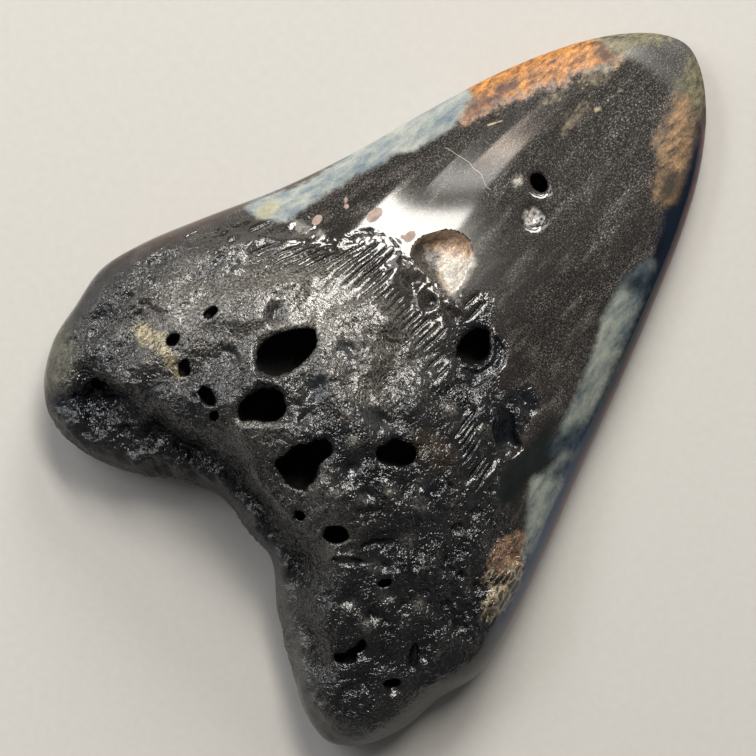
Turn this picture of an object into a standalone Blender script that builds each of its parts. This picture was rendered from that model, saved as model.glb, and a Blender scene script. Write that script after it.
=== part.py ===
"""Fossil shark tooth, lying on its lapped flat face with the domed side up.

One closed solid.  The outline is a smooth curve through hand-placed points.  Over it the
upper side is one height field: rounded rim, lens-shaped crown, swollen root, the furrow
along the notch, pits and striae.  Bored holes are blind wells joined to that skin.
Lengths are millimetres until the mesh is written in metres.
"""
import math

import bpy
import numpy as np
from mathutils import Vector
from mathutils import noise
from mathutils.geometry import delaunay_2d_cdt

for item in list(bpy.data.objects):
    bpy.data.objects.remove(item, do_unlink=True)

# ---------------------------------------------------------------- driving dimensions
MM = 0.001
LENGTH = 127.8            # tip to the lower end of the longer root lobe, along the axis
DRAWN_LENGTH = 127.8      # length at which the feature positions below are given
SCALE = LENGTH / DRAWN_LENGTH

CROWN_RIM_HEIGHT = 3.2    # height of the widest line of the rim above the bench, at the crown
ROOT_RIM_HEIGHT = 6.2     # the same at the root lobes
CROWN_EDGE = (2.0, 1.9)   # rounding of the crown's rim: inward, upward
ROOT_EDGE = (4.6, 4.4)    # rounding of the root's rim: inward, upward
UNDER_EDGE = 4.0          # inward reach of the rounding on the flat side
CROWN_DOME = 13.0         # rise of the crown's dome above its rim rounding, at its base
TIP_DOME = 1.4            # the same at the tip
DOME_BEND = 1.75          # 1 gives a dome that rises evenly from the tip; more, one that swells late
CROWN_RUN = 72.0          # from the tip to where the dome has its full rise
RUN_ROUNDING = 0.25       # part of that run over which the rise levels off
DOME_REACH = (4.0, 24.0, 17.0)   # rim to level top: at the tip, at the crown's base, over the root
BOSS = (-2.0, -25.0, 22.0, 21.0)   # central boss of the root: middle x and y, reach in x and y
BOSS_RISE = 5.2           # further rise of that boss
LOBE_FALL = 0.45          # part of the dome's rise that is lost toward the ends of the lobes
LEDGE_RISE = 1.4          # rise of the ledge that runs round the notch
LEDGE_SLOPE = 0.18        # rise of that ledge for each mm in from the rim
FURROW_DEPTH = 1.7        # groove at the foot of the wall above that ledge
FURROW_HALF = 1.6         # half the width of that groove
LUMP_HEIGHT = 0.75        # coarse lumps of the root's skin
STRIA_DEPTH = 0.4         # fine furrows that run off the root toward the tip
HOLLOW = (-1.0, -40.0, 11.0, 9.0)  # shallow hollow of the flat side, laid out as the boss is
HOLLOW_DEPTH = 1.6        # greatest depth of that hollow
HOLLOW_REST = 0.12        # the last of it that was ground flat

RIM_STEP = 2.1            # mesh spacing along the outline
ROOT_STEP = 1.75          # mesh spacing over the root
CROWN_STEP = 3.6          # mesh spacing over the crown
UNDER_STEP = 7.0          # mesh spacing over the flat side
HOLLOW_STEP = 2.6         # mesh spacing over its hollow

# Outline of the tooth, tip first, then down the left edge and round.
OUTLINE = (
    (-1.5, 63.8), (-5.6, 62.4), (-10.0, 58.6), (-15.1, 51.6), (-20.7, 40.0), (-24.4, 29.5),
    (-30.2, 10.0), (-34.6, -2.0), (-40.7, -15.2), (-44.9, -25.2), (-46.8, -33.0),
    (-45.6, -40.5), (-44.3, -47.0), (-40.6, -53.3), (-36.0, -56.8), (-29.5, -57.7),
    (-20.0, -54.7), (-11.5, -49.1), (-5.0, -46.6), (2.5, -47.8), (8.2, -48.3),
    (15.0, -53.9), (25.0, -60.1), (31.0, -63.2), (36.6, -63.8), (41.2, -60.4),
    (44.1, -53.6), (45.1, -45.5), (46.9, -38.0), (45.1, -28.0), (40.9, -15.2),
    (35.2, 0.0), (29.9, 15.0), (24.3, 29.6), (20.0, 40.0), (14.7, 50.0), (8.8, 57.6),
    (3.0, 62.3),
)

# Where the smooth crown gives way to the rough root (x, y), and the foot of the notch wall.
ROUGH_LINE = (
    (-48.0, -12.5), (-40.0, -13.0), (-36.0, -13.0), (-33.5, -9.0), (-30.0, -4.5),
    (-27.0, -2.0), (-24.0, -3.0), (-21.0, -0.8), (-19.0, 2.6), (-15.0, 4.6), (-9.0, 4.6),
    (-3.0, 5.0), (0.5, 6.5), (3.0, 8.6), (5.0, 8.6), (7.0, 5.6), (12.0, 4.9), (14.0, 1.0),
    (16.0, -1.2), (18.5, 2.4), (21.5, 2.8), (23.5, -2.0), (25.0, -9.0), (28.0, -14.0),
    (33.0, -15.5), (41.0, -18.0), (48.0, -20.0),
)
NOTCH_FOOT = (
    (-42.0, -46.0), (-36.0, -48.2), (-30.0, -48.8), (-25.0, -47.8), (-20.0, -46.3),
    (-13.0, -43.8), (-7.0, -42.7), (0.0, -43.3), (7.0, -44.4), (11.0, -46.6),
    (15.0, -49.8), (20.0, -53.4), (26.0, -57.0), (34.0, -60.4),
)
NOTCH_WALL = 5.4          # width of the wall between its foot and the root's face
FOOT_SWAY = 1.3           # how far that foot strays to either side of its line
NOTCH_ENDS = (-40.0, -31.0, 20.0, 32.0)   # the ledge fades in and out between these x


def oval(x, y, rx, ry, turn=0.0, count=9):
    """Points round an oval; turn is in degrees."""
    c, s = math.cos(math.radians(turn)), math.sin(math.radians(turn))
    ring = [2 * math.pi * i / count for i in range(count)]
    return tuple((x + rx * math.cos(a) * c - ry * math.sin(a) * s,
                  y + rx * math.cos(a) * s + ry * math.sin(a) * c) for a in ring)


# Bored holes: rim, depth.  The collared one opens in a low raised ring.
COLLARED = (oval(12.8, -37.1, 2.1, 1.5, 32), 6.0)
COLLAR = (2.6, 1.0, 0.7)  # how far its crest stands from the hole, half width, rise
HOLES = (
    (((-13.2, -15.2), (-11.5, -16.6), (-10.8, -19.5), (-11.2, -22.5), (-12.8, -25.1),
      (-15.0, -26.2), (-17.2, -24.9), (-17.9, -22.6), (-17.0, -19.6), (-15.4, -17.0)), 12.0),
    (((-9.8, -26.6), (-7.5, -27.8), (-7.1, -30.0), (-8.5, -31.8), (-10.1, -33.0),
      (-11.6, -34.4), (-13.2, -33.2), (-13.5, -31.0), (-12.9, -28.6), (-11.5, -27.1)), 11.0),
    (((1.2, -26.8), (2.9, -28.0), (2.8, -30.6), (4.0, -33.2), (3.6, -35.6), (1.6, -36.7),
      (-0.9, -36.2), (-2.7, -35.4), (-2.3, -33.2), (-2.0, -30.9), (-0.8, -28.8)), 12.0),
    (((12.4, -17.8), (13.6, -19.2), (13.0, -21.2), (11.0, -22.7), (9.0, -23.3),
      (8.0, -22.2), (8.3, -20.3), (9.4, -18.6)), 9.0),
    (((7.6, 4.7), (9.2, 3.5), (10.4, 2.2), (10.2, 0.0), (8.8, -1.3), (6.8, -1.5),
      (5.6, -0.4), (5.5, 2.2), (6.2, 4.0)), 9.0),
    (oval(-3.5, 29.0, 1.8, 1.3, -8), 6.0),
    COLLARED,
    (((28.4, -46.9), (29.6, -47.4), (29.4, -49.2), (30.0, -50.4), (28.8, -51.6),
      (27.6, -52.5), (26.8, -51.9), (27.9, -50.5), (28.1, -48.9)), 5.0),
    (oval(-18.2, -35.4, 1.9, 1.05, -8), 5.0),
    (oval(-15.3, -36.9, 0.75, 0.95, 20, 7), 3.0),
    (oval(-29.1, -32.7, 0.9, 1.25, -12, 8), 4.0),
    (oval(-24.5, -34.8, 0.95, 1.5, 20, 8), 3.0),
    (oval(-27.7, -25.1, 0.85, 1.45, -10, 8), 2.6),
    (oval(6.3, -39.1, 0.85, 0.8, 0, 7), 3.0),
    (oval(-33.3, -46.9, 1.25, 0.8, 15, 8), 3.0),
    (oval(24.3, -37.4, 0.65, 1.15, -35, 8), 3.0),
    (oval(37.0, -48.8, 0.65, 1.5, -42, 8), 3.5),
)
HOLE_LIP = (1.4, 1.0)     # the rounded lip of a hole: width, drop
FULL_LIP = 6.0            # a hole shallower than this has a lip that is smaller in proportion
DEEP_HOLE = 4.5           # a deeper hole than this keeps its width down to a rounded end
PIT_STEEPNESS = 3.0       # 1 gives a straight wall; more gives a crisper rim
CRISP_DEPTH = 2.0         # a pit deeper than this has a crisp rim
CRISP_WALL = 1.0          # and so has one with a wall narrower than this; others are soft

# Shallow pits: rim, depth, width of the sloping wall, tilt of the floor toward +x.
PITS = (
    (((-5.8, 13.6), (-3.3, 12.4), (-2.2, 9.6), (-1.3, 7.0), (-1.4, 5.2), (-4.5, 4.7),
      (-8.8, 4.5), (-10.8, 5.4), (-11.3, 7.8), (-10.4, 10.2), (-8.6, 12.6)), 2.3, 3.4, -0.35),
    (((17.8, -2.9), (20.4, -2.2), (23.0, -4.0), (25.4, -5.0), (25.4, -7.4), (24.4, -9.1),
      (21.8, -8.0), (19.2, -6.4)), 2.2, 2.6, 0.3),
    (oval(-7.4, 2.1, 2.3, 1.9, 10), 1.2, 1.6, 0.2),
    (oval(-3.2, 1.4, 1.5, 1.5), 1.1, 1.2, 0.2),
    (oval(1.2, 2.4, 2.3, 1.2, -6), 1.1, 1.2, 0.2),
    (oval(-0.4, 24.3, 1.5, 1.9, 15), 1.1, 1.3, 0.3),
    (((8.8, 5.1), (11.8, 4.8), (13.5, 2.6), (13.2, -1.4), (12.4, -4.2), (10.4, -3.4),
      (8.6, -2.6), (10.8, -1.0), (11.4, 1.2), (10.6, 3.2)), 0.9, 0.7, 0.0),
    (oval(20.8, 0.7, 2.3, 1.5, -10), 0.8, 1.0, 0.0),
    (oval(-6.3, -21.8, 2.4, 3.0, 10), 1.5, 2.2, 0.2),
    (oval(4.4, -18.4, 3.0, 1.7, 8), 1.3, 1.6, 0.3),
    (oval(7.3, -27.3, 1.8, 2.1), 1.3, 1.6, 0.2),
    (oval(-4.4, -26.8, 1.5, 1.7), 1.1, 1.4, 0.2),
    (((-22.4, -28.3), (-22.0, -26.9), (-20.6, -25.9), (-19.0, -26.2), (-18.1, -27.7),
      (-19.4, -28.6)), 1.1, 1.2, 0.0),
    (oval(-19.9, -17.6, 1.8, 2.3, 15), 1.0, 1.5, 0.2),
    (oval(-6.8, -13.6, 2.6, 1.6), 1.0, 1.6, 0.1),
    (oval(21.6, -35.6, 2.2, 1.9, 20), 1.2, 1.7, 0.3),
    (oval(18.0, -34.4, 1.0, 2.6, -30), 1.3, 1.0, 0.0),
    (oval(17.4, -38.9, 3.0, 0.9, 38), 1.0, 0.8, 0.0),
    (oval(25.4, -38.0, 1.7, 2.0, -10), 1.0, 1.4, 0.1),
    (oval(17.6, -21.2, 1.3, 1.5), 0.9, 1.2, 0.2),
    (oval(19.3, -23.7, 1.3, 1.1), 0.8, 1.0, 0.2),
    (oval(11.4, -28.8, 1.5, 1.3), 1.0, 1.2, 0.2),
    (oval(22.2, -43.8, 1.5, 1.3), 0.9, 1.2, 0.1),
    (oval(26.6, -42.7, 1.6, 1.1, 20), 0.9, 1.0, 0.1),
    (oval(30.4, -47.9, 1.1, 1.5), 0.8, 1.0, 0.2),
    (oval(37.9, -48.9, 1.4, 1.9, -40), 1.2, 1.0, 0.0),
    (oval(36.6, -43.0, 0.9, 2.6, 38), 1.2, 0.9, 0.0),
    (((-38.2, -30.6), (-37.0, -29.1), (-34.0, -29.0), (-33.0, -30.1), (-34.6, -31.5),
      (-37.2, -31.7)), 0.9, 1.0, -0.2),
    (oval(-39.0, -42.3, 0.9, 2.1, 42), 0.9, 0.8, 0.0),
    (oval(-26.0, -42.2, 1.5, 1.8, -10), 1.3, 1.3, 0.2),
    (oval(-30.2, -17.4, 1.1, 1.7, 10), 0.8, 1.0, 0.1),
    (oval(-32.9, -17.9, 0.9, 1.5), 0.7, 0.9, 0.1),
)

# Striae: two ends each.
STRIAE = (
    ((-33.0, -11.5), (-31.0, -6.5)), ((-30.3, -14.0), (-27.6, -8.4)),
    ((-28.4, -14.8), (-24.8, -6.2)), ((-26.6, -14.2), (-22.6, -3.8)),
    ((-24.6, -12.6), (-21.2, -3.0)), ((-22.8, -12.4), (-19.4, -2.6)),
    ((-20.8, -10.6), (-17.6, 1.4)), ((-17.6, -8.0), (-15.9, 3.8)),
    ((-15.2, -7.5), (-14.2, 4.0)), ((-13.6, -6.5), (-12.8, 4.2)),
    ((-11.6, -7.0), (-10.9, 1.8)), ((-9.4, -5.6), (-9.0, -0.6)),
    ((-6.9, -5.8), (-6.7, -0.6)), ((-4.9, -5.4), (-4.6, -0.8)),
    ((-2.9, -5.6), (-2.7, -0.8)), ((-1.2, -5.2), (-1.0, 0.2)),
    ((0.7, -6.0), (0.9, 0.4)), ((2.0, 4.6), (2.1, 8.2)), ((2.1, -5.6), (2.2, 0.6)),
    ((3.8, 3.2), (3.9, 8.4)), ((4.8, -8.2), (4.8, -2.8)), ((6.9, -7.2), (7.0, -3.2)),
    ((15.9, -12.6), (15.1, -5.6)), ((17.8, -13.4), (17.4, -6.6)),
    ((20.2, -15.2), (19.0, -8.0)), ((22.6, -16.2), (21.6, -10.0)),
    ((24.9, -17.0), (23.4, -10.4)), ((-39.9, -19.6), (-39.2, -16.6)),
)
STRIA_HALF = 0.6          # from the bottom of a furrow to the crest beside it

# ---------------------------------------------------------------- curves and distances


def curve(points, closed, step):
    """Catmull-Rom curve through the points, evenly spaced; a closed one turns left."""
    p = np.array(points, float)
    if closed:
        p = np.vstack((p[-1], p, p[0], p[1]))
    else:
        p = np.vstack((2 * p[0] - p[1], p, 2 * p[-1] - p[-2]))
    dense = []
    for a, b, c, d in zip(p, p[1:], p[2:], p[3:]):
        t0 = 0.0
        t1 = t0 + math.sqrt(np.linalg.norm(b - a))
        t2 = t1 + math.sqrt(np.linalg.norm(c - b))
        t3 = t2 + math.sqrt(np.linalg.norm(d - c))
        t = np.linspace(t1, t2, 24, endpoint=False)[:, None]
        ab = (t1 - t) / (t1 - t0) * a + (t - t0) / (t1 - t0) * b
        bc = (t2 - t) / (t2 - t1) * b + (t - t1) / (t2 - t1) * c
        cd = (t3 - t) / (t3 - t2) * c + (t - t2) / (t3 - t2) * d
        abc = (t2 - t) / (t2 - t0) * ab + (t - t0) / (t2 - t0) * bc
        bcd = (t3 - t) / (t3 - t1) * bc + (t - t1) / (t3 - t1) * cd
        dense.append((t2 - t) / (t2 - t1) * abc + (t - t1) / (t2 - t1) * bcd)
    dense.append(p[-2][None])
    dense = np.vstack(dense)
    run = np.concatenate(([0.0], np.cumsum(np.linalg.norm(np.diff(dense, axis=0), axis=1))))
    count = max(int(round(run[-1] / step)), 6)
    at = np.linspace(0.0, run[-1], count + 1)
    at = at[:-1] if closed else at
    out = np.column_stack([np.interp(at, run, dense[:, k]) for k in (0, 1)])
    after = np.roll(out, -1, axis=0)
    turn = (out[:, 0] * after[:, 1] - out[:, 1] * after[:, 0]).sum()
    return out[::-1] if closed and turn < 0.0 else out


def smooth_distance(p, loop):
    """Distance in from the loop, rounded off where two sides are equally near."""
    a, b = loop, np.roll(loop, -1, axis=0)
    along = b - a
    length = np.linalg.norm(along, axis=1)
    along = along / length[:, None]
    out = np.empty(len(p))
    for start in range(0, len(p), 2000):
        rel = p[start:start + 2000, None, :] - a[None]
        s1 = -(rel * along).sum(axis=2)
        s2 = s1 + length
        h2 = np.maximum((rel[..., 0] * along[:, 1] - rel[..., 1] * along[:, 0]) ** 2, 1e-8)
        weight = (s2 / np.sqrt(h2 + s2 * s2) - s1 / np.sqrt(h2 + s1 * s1)) / h2
        out[start:start + 2000] = np.sqrt(2.0 / weight.sum(axis=1))
    return out


def segment_distance(p, a, b):
    """Distance from each point to each segment."""
    along = b - a
    rel = p[:, None, :] - a[None]
    t = np.clip((rel * along).sum(axis=2) / (along ** 2).sum(axis=1), 0.0, 1.0)
    return np.linalg.norm(rel - t[..., None] * along, axis=2)


def inside(p, loop):
    """True for the points within the loop."""
    a, b = loop, np.roll(loop, -1, axis=0)
    x, y = p[:, 0, None], p[:, 1, None]
    spans = (a[:, 1] > y) != (b[:, 1] > y)
    rise = np.where(b[:, 1] == a[:, 1], 1.0, b[:, 1] - a[:, 1])
    return (spans & (x < a[:, 0] + (y - a[:, 1]) / rise * (b[:, 0] - a[:, 0]))).sum(axis=1) % 2 == 1


def loop_distance(p, loop, reach):
    """Signed distance to the loop, positive within; -reach for points farther out."""
    out = np.full(len(p), -float(reach))
    near = np.all((p > loop.min(axis=0) - reach) & (p < loop.max(axis=0) + reach), axis=1)
    if near.any():
        q = p[near]
        d = segment_distance(q, loop, np.roll(loop, -1, axis=0)).min(axis=1)
        out[near] = np.maximum(np.where(inside(q, loop), d, -d), -reach)
    return out


def step_up(lo, hi, v):
    """0 below lo, 1 above hi, smooth between."""
    t = np.clip((v - lo) / (hi - lo), 0.0, 1.0)
    return t * t * (3.0 - 2.0 * t)


def quarter(d, reach):
    """Height of a quarter-round of unit height at a distance d in from its edge."""
    return np.sqrt(np.maximum(1.0 - (1.0 - np.minimum(d, reach) / reach) ** 2, 0.0))


def lump(p, size, seed):
    """Smooth noise from about -1 to 1 with lumps of the given size."""
    return np.array([2.0 * noise.noise(Vector((x / size, y / size, seed))) for x, y in p])


outline = curve(OUTLINE, True, RIM_STEP)
holes = [(curve(rim, True, 1.25 if depth > DEEP_HOLE else 0.8), depth) for rim, depth in HOLES]
collared = curve(COLLARED[0], True, 1.25)
pits = [(curve(rim, True, 1.5), depth, wall, tilt) for rim, depth, wall, tilt in PITS]
rough_line = curve(ROUGH_LINE, False, 0.5)
notch_foot = curve(NOTCH_FOOT, False, 0.5)
notch_slope = np.gradient(notch_foot[:, 1]) / np.gradient(notch_foot[:, 0])
stria_ends = np.array(STRIAE, float)

# ---------------------------------------------------------------- the two faces


def rim_height(y):
    """Height of the widest line of the rim above the bench."""
    return CROWN_RIM_HEIGHT + (ROOT_RIM_HEIGHT - CROWN_RIM_HEIGHT) * step_up(10.0, -38.0, y)


def bump(p, x, y, rx, ry):
    """A round-topped rise of unit height about (x, y)."""
    return np.exp(-((p[:, 0] - x) / rx) ** 2 - ((p[:, 1] - y) / ry) ** 2)


def top_height(p, d):
    """Height of the domed face at points p, which lie d in from the outline."""
    x, y = p[:, 0], p[:, 1]
    root = step_up(6.0, -32.0, y)
    edge_in = CROWN_EDGE[0] + (ROOT_EDGE[0] - CROWN_EDGE[0]) * root
    edge_up = CROWN_EDGE[1] + (ROOT_EDGE[1] - CROWN_EDGE[1]) * root
    base = rim_height(y) + edge_up * quarter(d, edge_in)

    from_tip = np.maximum((LENGTH / 2.0 - y) / CROWN_RUN, 0.0)
    near_end = np.maximum(RUN_ROUNDING - np.abs(from_tip - 1.0), 0.0) / RUN_ROUNDING
    crown_run = np.minimum(from_tip, 1.0) - near_end ** 2 * RUN_ROUNDING / 4.0
    dome = TIP_DOME + (CROWN_DOME - TIP_DOME) * crown_run ** DOME_BEND
    dome = dome + BOSS_RISE * bump(p, *BOSS)
    dome = dome * (1.0 - LOBE_FALL * root * step_up(8.0, 46.0, np.abs(x + 1.0)))
    tip_reach, crown_reach, root_reach = DOME_REACH
    reach = (tip_reach + (crown_reach - tip_reach) * crown_run) * (1.0 - root) + root_reach * root
    z = base + dome * (1.0 - (1.0 - np.minimum(d, reach) / reach) ** 2)

    # The ledge round the notch, the wall above it and the furrow between them.
    foot = np.interp(x, notch_foot[:, 0], notch_foot[:, 1])
    slope = np.interp(x, notch_foot[:, 0], notch_slope)
    above = (y - foot) / np.sqrt(1.0 + slope ** 2) + FOOT_SWAY * lump(p, 9.0, 4.4)
    ends = step_up(NOTCH_ENDS[0], NOTCH_ENDS[1], x) * (1.0 - step_up(NOTCH_ENDS[2], NOTCH_ENDS[3], x))
    ledge = base + LEDGE_RISE * quarter(d, 8.0) + LEDGE_SLOPE * d
    wall = NOTCH_WALL * (1.0 + 0.4 * lump(p, 11.0, 2.2))
    sunk = ends * (1.0 - step_up(-0.8, wall, above))
    z = z + (np.minimum(ledge, z) - z) * sunk
    cut = FURROW_DEPTH * np.clip(0.6 + 0.8 * lump(p, 10.0, 8.2), 0.0, 1.2)
    z = z - ends * cut * np.exp(-((above - 0.2) / FURROW_HALF) ** 2) * step_up(0.5, 3.0, d)

    # Rough skin of the root, fading at the rim where it is polished away.
    skin = step_up(-1.0, 0.8, np.interp(x, rough_line[:, 0], rough_line[:, 1]) - y)
    unground = np.maximum(step_up(-22.0, -30.0, y) * (x < 0.0), step_up(-38.0, -44.0, y))
    skin = skin * np.maximum(step_up(0.6, 4.5, d), unground * step_up(-0.1, 1.2, d))
    skin = skin * (1.0 - 0.7 * step_up(37.0, 42.0, x) * step_up(-34.0, -40.0, y))
    z = z + skin * LUMP_HEIGHT * (lump(p, 7.0, 0.4) + 0.55 * lump(p, 3.6, 5.3))

    a, b = stria_ends[:, 0], stria_ends[:, 1]
    across = np.min(segment_distance(p, a, b), axis=1) / STRIA_HALF
    z = z - STRIA_DEPTH * np.exp(-across ** 2)

    for rim, depth, wall, tilt in pits:
        lean = 1.0 + tilt * (x - rim[:, 0].mean()) / np.ptp(rim[:, 0]) * 2.0
        if depth > CRISP_DEPTH or wall < CRISP_WALL:
            part = np.clip(loop_distance(p, rim, 0.01) / wall, 0.0, 1.0)
            fall = 1.0 - (1.0 - part) ** PIT_STEEPNESS
        else:
            fall = step_up(-0.45, 1.35 * wall, loop_distance(p, rim, 0.5))
        z = z - depth * lean * fall

    width, drop = HOLE_LIP
    for rim, depth in holes:
        size = min(1.0, depth / FULL_LIP)
        away = -loop_distance(p, rim, width)
        z = z - drop * size * (1.0 - np.clip(away / (width * size), 0.0, 1.0)) ** 2
    crest, half, rise = COLLAR
    away = -loop_distance(p, collared, 6.0)
    return z + rise * np.exp(-((away - crest) / half) ** 2)


def under_height(p, d):
    """Height of the lapped face: flat, with its rim rounded up and a dip between the lobes."""
    rim = rim_height(p[:, 1])
    dip = HOLLOW_DEPTH * bump(p, *HOLLOW) * step_up(0.0, 3.0, d)
    return rim * (1.0 - quarter(d, UNDER_EDGE)) + np.maximum(dip - HOLLOW_REST, 0.0)

# ---------------------------------------------------------------- mesh points


def thin(points, kept, gap):
    """The points that keep the gap from every kept one."""
    if not len(points) or not len(kept):
        return points
    ok = np.ones(len(points), bool)
    for start in range(0, len(points), 500):
        part = points[start:start + 500]
        away = np.linalg.norm(part[:, None] - kept[None], axis=2).min(axis=1)
        ok[start:start + 500] = away > gap
    return points[ok]


def inset(loop, amount):
    """The loop moved inward by an amount along its normals."""
    tangent = np.roll(loop, -1, axis=0) - np.roll(loop, 1, axis=0)
    tangent = tangent / np.linalg.norm(tangent, axis=1)[:, None]
    return loop + amount * np.column_stack((-tangent[:, 1], tangent[:, 0]))


def grow(loop, amount):
    """The loop made larger (or smaller) about its middle by an amount."""
    middle = loop.mean(axis=0)
    mean = np.linalg.norm(loop - middle, axis=1).mean()
    return middle + (loop - middle) * (1.0 + amount / mean)


def lattice(step):
    """Triangular lattice over the tooth."""
    lo, hi = outline.min(axis=0), outline.max(axis=0)
    rows = np.arange(lo[1], hi[1], step * math.sqrt(0.75))
    pts = [(x + (i % 2) * step / 2, y) for i, y in enumerate(rows)
           for x in np.arange(lo[0], hi[0], step)]
    return np.array(pts)


def triangles(points, loops):
    """Delaunay triangles of the points within loops[0] and outside the other loops."""
    edges = []
    for first, count in loops:
        edges += [(first + i, first + (i + 1) % count) for i in range(count)]
    flat = [Vector((float(x), float(y))) for x, y in points]
    verts, _, faces, origin, _, _ = delaunay_2d_cdt(flat, edges, [], 0, 1e-7)
    if len(verts) != len(points):
        raise ValueError("points were merged or edges crossed")
    faces = np.array([[origin[i][0] for i in face] for face in faces])
    middle = points[faces].mean(axis=1)
    keep = inside(middle, points[loops[0][0]:loops[0][0] + loops[0][1]])
    for first, count in loops[1:]:
        keep &= ~inside(middle, points[first:first + count])
    return faces[keep]


rings_top = [inset(outline, amount) for amount in (0.3, 1.0, 2.1, 3.6)]
rings_under = [inset(outline, amount) for amount in (0.35, 1.3, 2.7, UNDER_EDGE)]

top = [outline]
loops_top = [(0, len(outline))]
for rim, depth in holes:
    loops_top.append((sum(len(t) for t in top), len(rim)))
    top.append(rim)
fixed = np.vstack(top)
for ring in rings_top:
    fixed = np.vstack((fixed, thin(ring, fixed[len(outline):], 0.5)))
for rim, depth in holes:
    lip = grow(rim, HOLE_LIP[0] * min(1.0, depth / FULL_LIP))
    fixed = np.vstack((fixed, thin(lip, fixed, 0.62)))
for rim, depth, wall, tilt in pits:
    for amount in (0.0, -0.5 * wall, -0.95 * wall):
        ring = grow(rim, amount) if amount else rim
        fixed = np.vstack((fixed, thin(ring if amount == 0 else ring[::2], fixed, 0.62)))
for a, b in stria_ends:
    along = (b - a) / np.linalg.norm(b - a)
    side = np.array((-along[1], along[0])) * STRIA_HALF
    count = max(int(round(np.linalg.norm(b - a) / 2.2)), 2)
    line = a + np.linspace(0.0, 1.0, count + 1)[:, None] * (b - a)
    for row in (line, line + side, line - side):
        fixed = np.vstack((fixed, thin(row, fixed, 0.5)))

rough = lattice(ROOT_STEP)
rough = rough[rough[:, 1] < np.interp(rough[:, 0], rough_line[:, 0], rough_line[:, 1]) + 1.0]
smooth = lattice(CROWN_STEP)
smooth = smooth[smooth[:, 1] > np.interp(smooth[:, 0], rough_line[:, 0], rough_line[:, 1]) + 1.0]
core = inset(outline, 3.0)
for grid, gap in ((rough, 1.0), (smooth, 2.0)):
    grid = grid[inside(grid, core)]
    for rim, depth in holes:
        grid = grid[~inside(grid, rim)]
    fixed = np.vstack((fixed, thin(grid, fixed, gap)))
outside = np.zeros(len(fixed), bool)
for first, count in loops_top[1:]:
    outside |= inside(fixed, fixed[first:first + count])
outside[:loops_top[-1][0] + loops_top[-1][1]] = False
fixed = fixed[~outside]

under = outline
for ring in rings_under:
    under = np.vstack((under, thin(ring, under, 0.45)))
grid = lattice(UNDER_STEP)
under = np.vstack((under, thin(grid[inside(grid, inset(outline, 5.5))], under, 3.0)))
dish = lattice(HOLLOW_STEP)
dish = dish[bump(dish, *HOLLOW) > 0.05]
under = np.vstack((under, thin(dish[inside(dish, inset(outline, 4.6))], under, 1.6)))

# ---------------------------------------------------------------- solid
rim_z = rim_height(outline[:, 1])
top_d = smooth_distance(fixed, outline)
top_d[:len(outline)] = 0.0
top_z = top_height(fixed, top_d)
top_z[:len(outline)] = rim_z
under_d = smooth_distance(under, outline)
under_z = np.maximum(under_height(under, under_d), 0.0)

verts = [np.column_stack((fixed, top_z))]
faces = [tuple(f) for f in triangles(fixed, loops_top)]
shift = len(fixed) - len(outline)
verts.append(np.column_stack((under, under_z))[len(outline):])
for f in triangles(under, [(0, len(outline))]):
    faces.append(tuple(i if i < len(outline) else i + shift for i in f)[::-1])
total = len(fixed) + len(under) - len(outline)

DEEP_LEVELS = ((1.05, 0.3), (1.0, 0.68), (0.62, 0.94))   # width against the rim, part of the depth
SHALLOW_LEVELS = ((0.98, 0.6),)
for (first, count), (rim, depth) in zip(loops_top[1:], holes):
    levels = DEEP_LEVELS if depth > DEEP_HOLE else SHALLOW_LEVELS
    middle = rim.mean(axis=0)
    z0 = top_z[first:first + count]
    above = list(range(first, first + count))
    for scale, part in levels:
        level = np.column_stack((middle + (rim - middle) * scale,
                                 z0 * (1 - part) + z0.mean() * part - depth * part))
        below = list(range(total, total + count))
        verts.append(level)
        total += count
        for i in range(count):
            j = (i + 1) % count
            faces.append((above[i], above[j], below[i]))
            faces.append((above[j], below[j], below[i]))
        above = below
    verts.append(np.array([[middle[0], middle[1], z0.mean() - depth]]))
    for i in range(count):
        faces.append((above[i], above[(i + 1) % count], total))
    total += 1

points = np.vstack(verts)
box = (outline.min(axis=0) + outline.max(axis=0)) / 2
points[:, :2] -= box
points *= SCALE * MM

mesh = bpy.data.meshes.new("tooth")
mesh.from_pydata([tuple(v) for v in points.tolist()], [], [tuple(int(i) for i in f) for f in faces])
mesh.validate()
tooth = bpy.data.objects.new("tooth", mesh)
bpy.context.scene.collection.objects.link(tooth)
mesh.polygons.foreach_set("use_smooth", [True] * len(mesh.polygons))

stone = bpy.data.materials.new("polished fossil dentine")
stone.use_nodes = True
shader = stone.node_tree.nodes["Principled BSDF"]
shader.inputs["Base Color"].default_value = (0.028, 0.023, 0.020, 1.0)
shader.inputs["Roughness"].default_value = 0.25
mesh.materials.append(stone)
print("triangles", len(mesh.polygons))
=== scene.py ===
"""A ground and polished fossil shark tooth, lying on its flat face on a pale floor.

The whole tooth is one piece.  Its skin is built here as one fine mesh over the same form as
the solid, then given pores and grain by Geometry Nodes and coloured in one layered material.
Lengths in the tooth's own sections are millimetres until the mesh is made.
"""

import math

import bpy
import numpy as np
from mathutils import Matrix, Vector, noise
from mathutils.geometry import delaunay_2d_cdt


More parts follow.
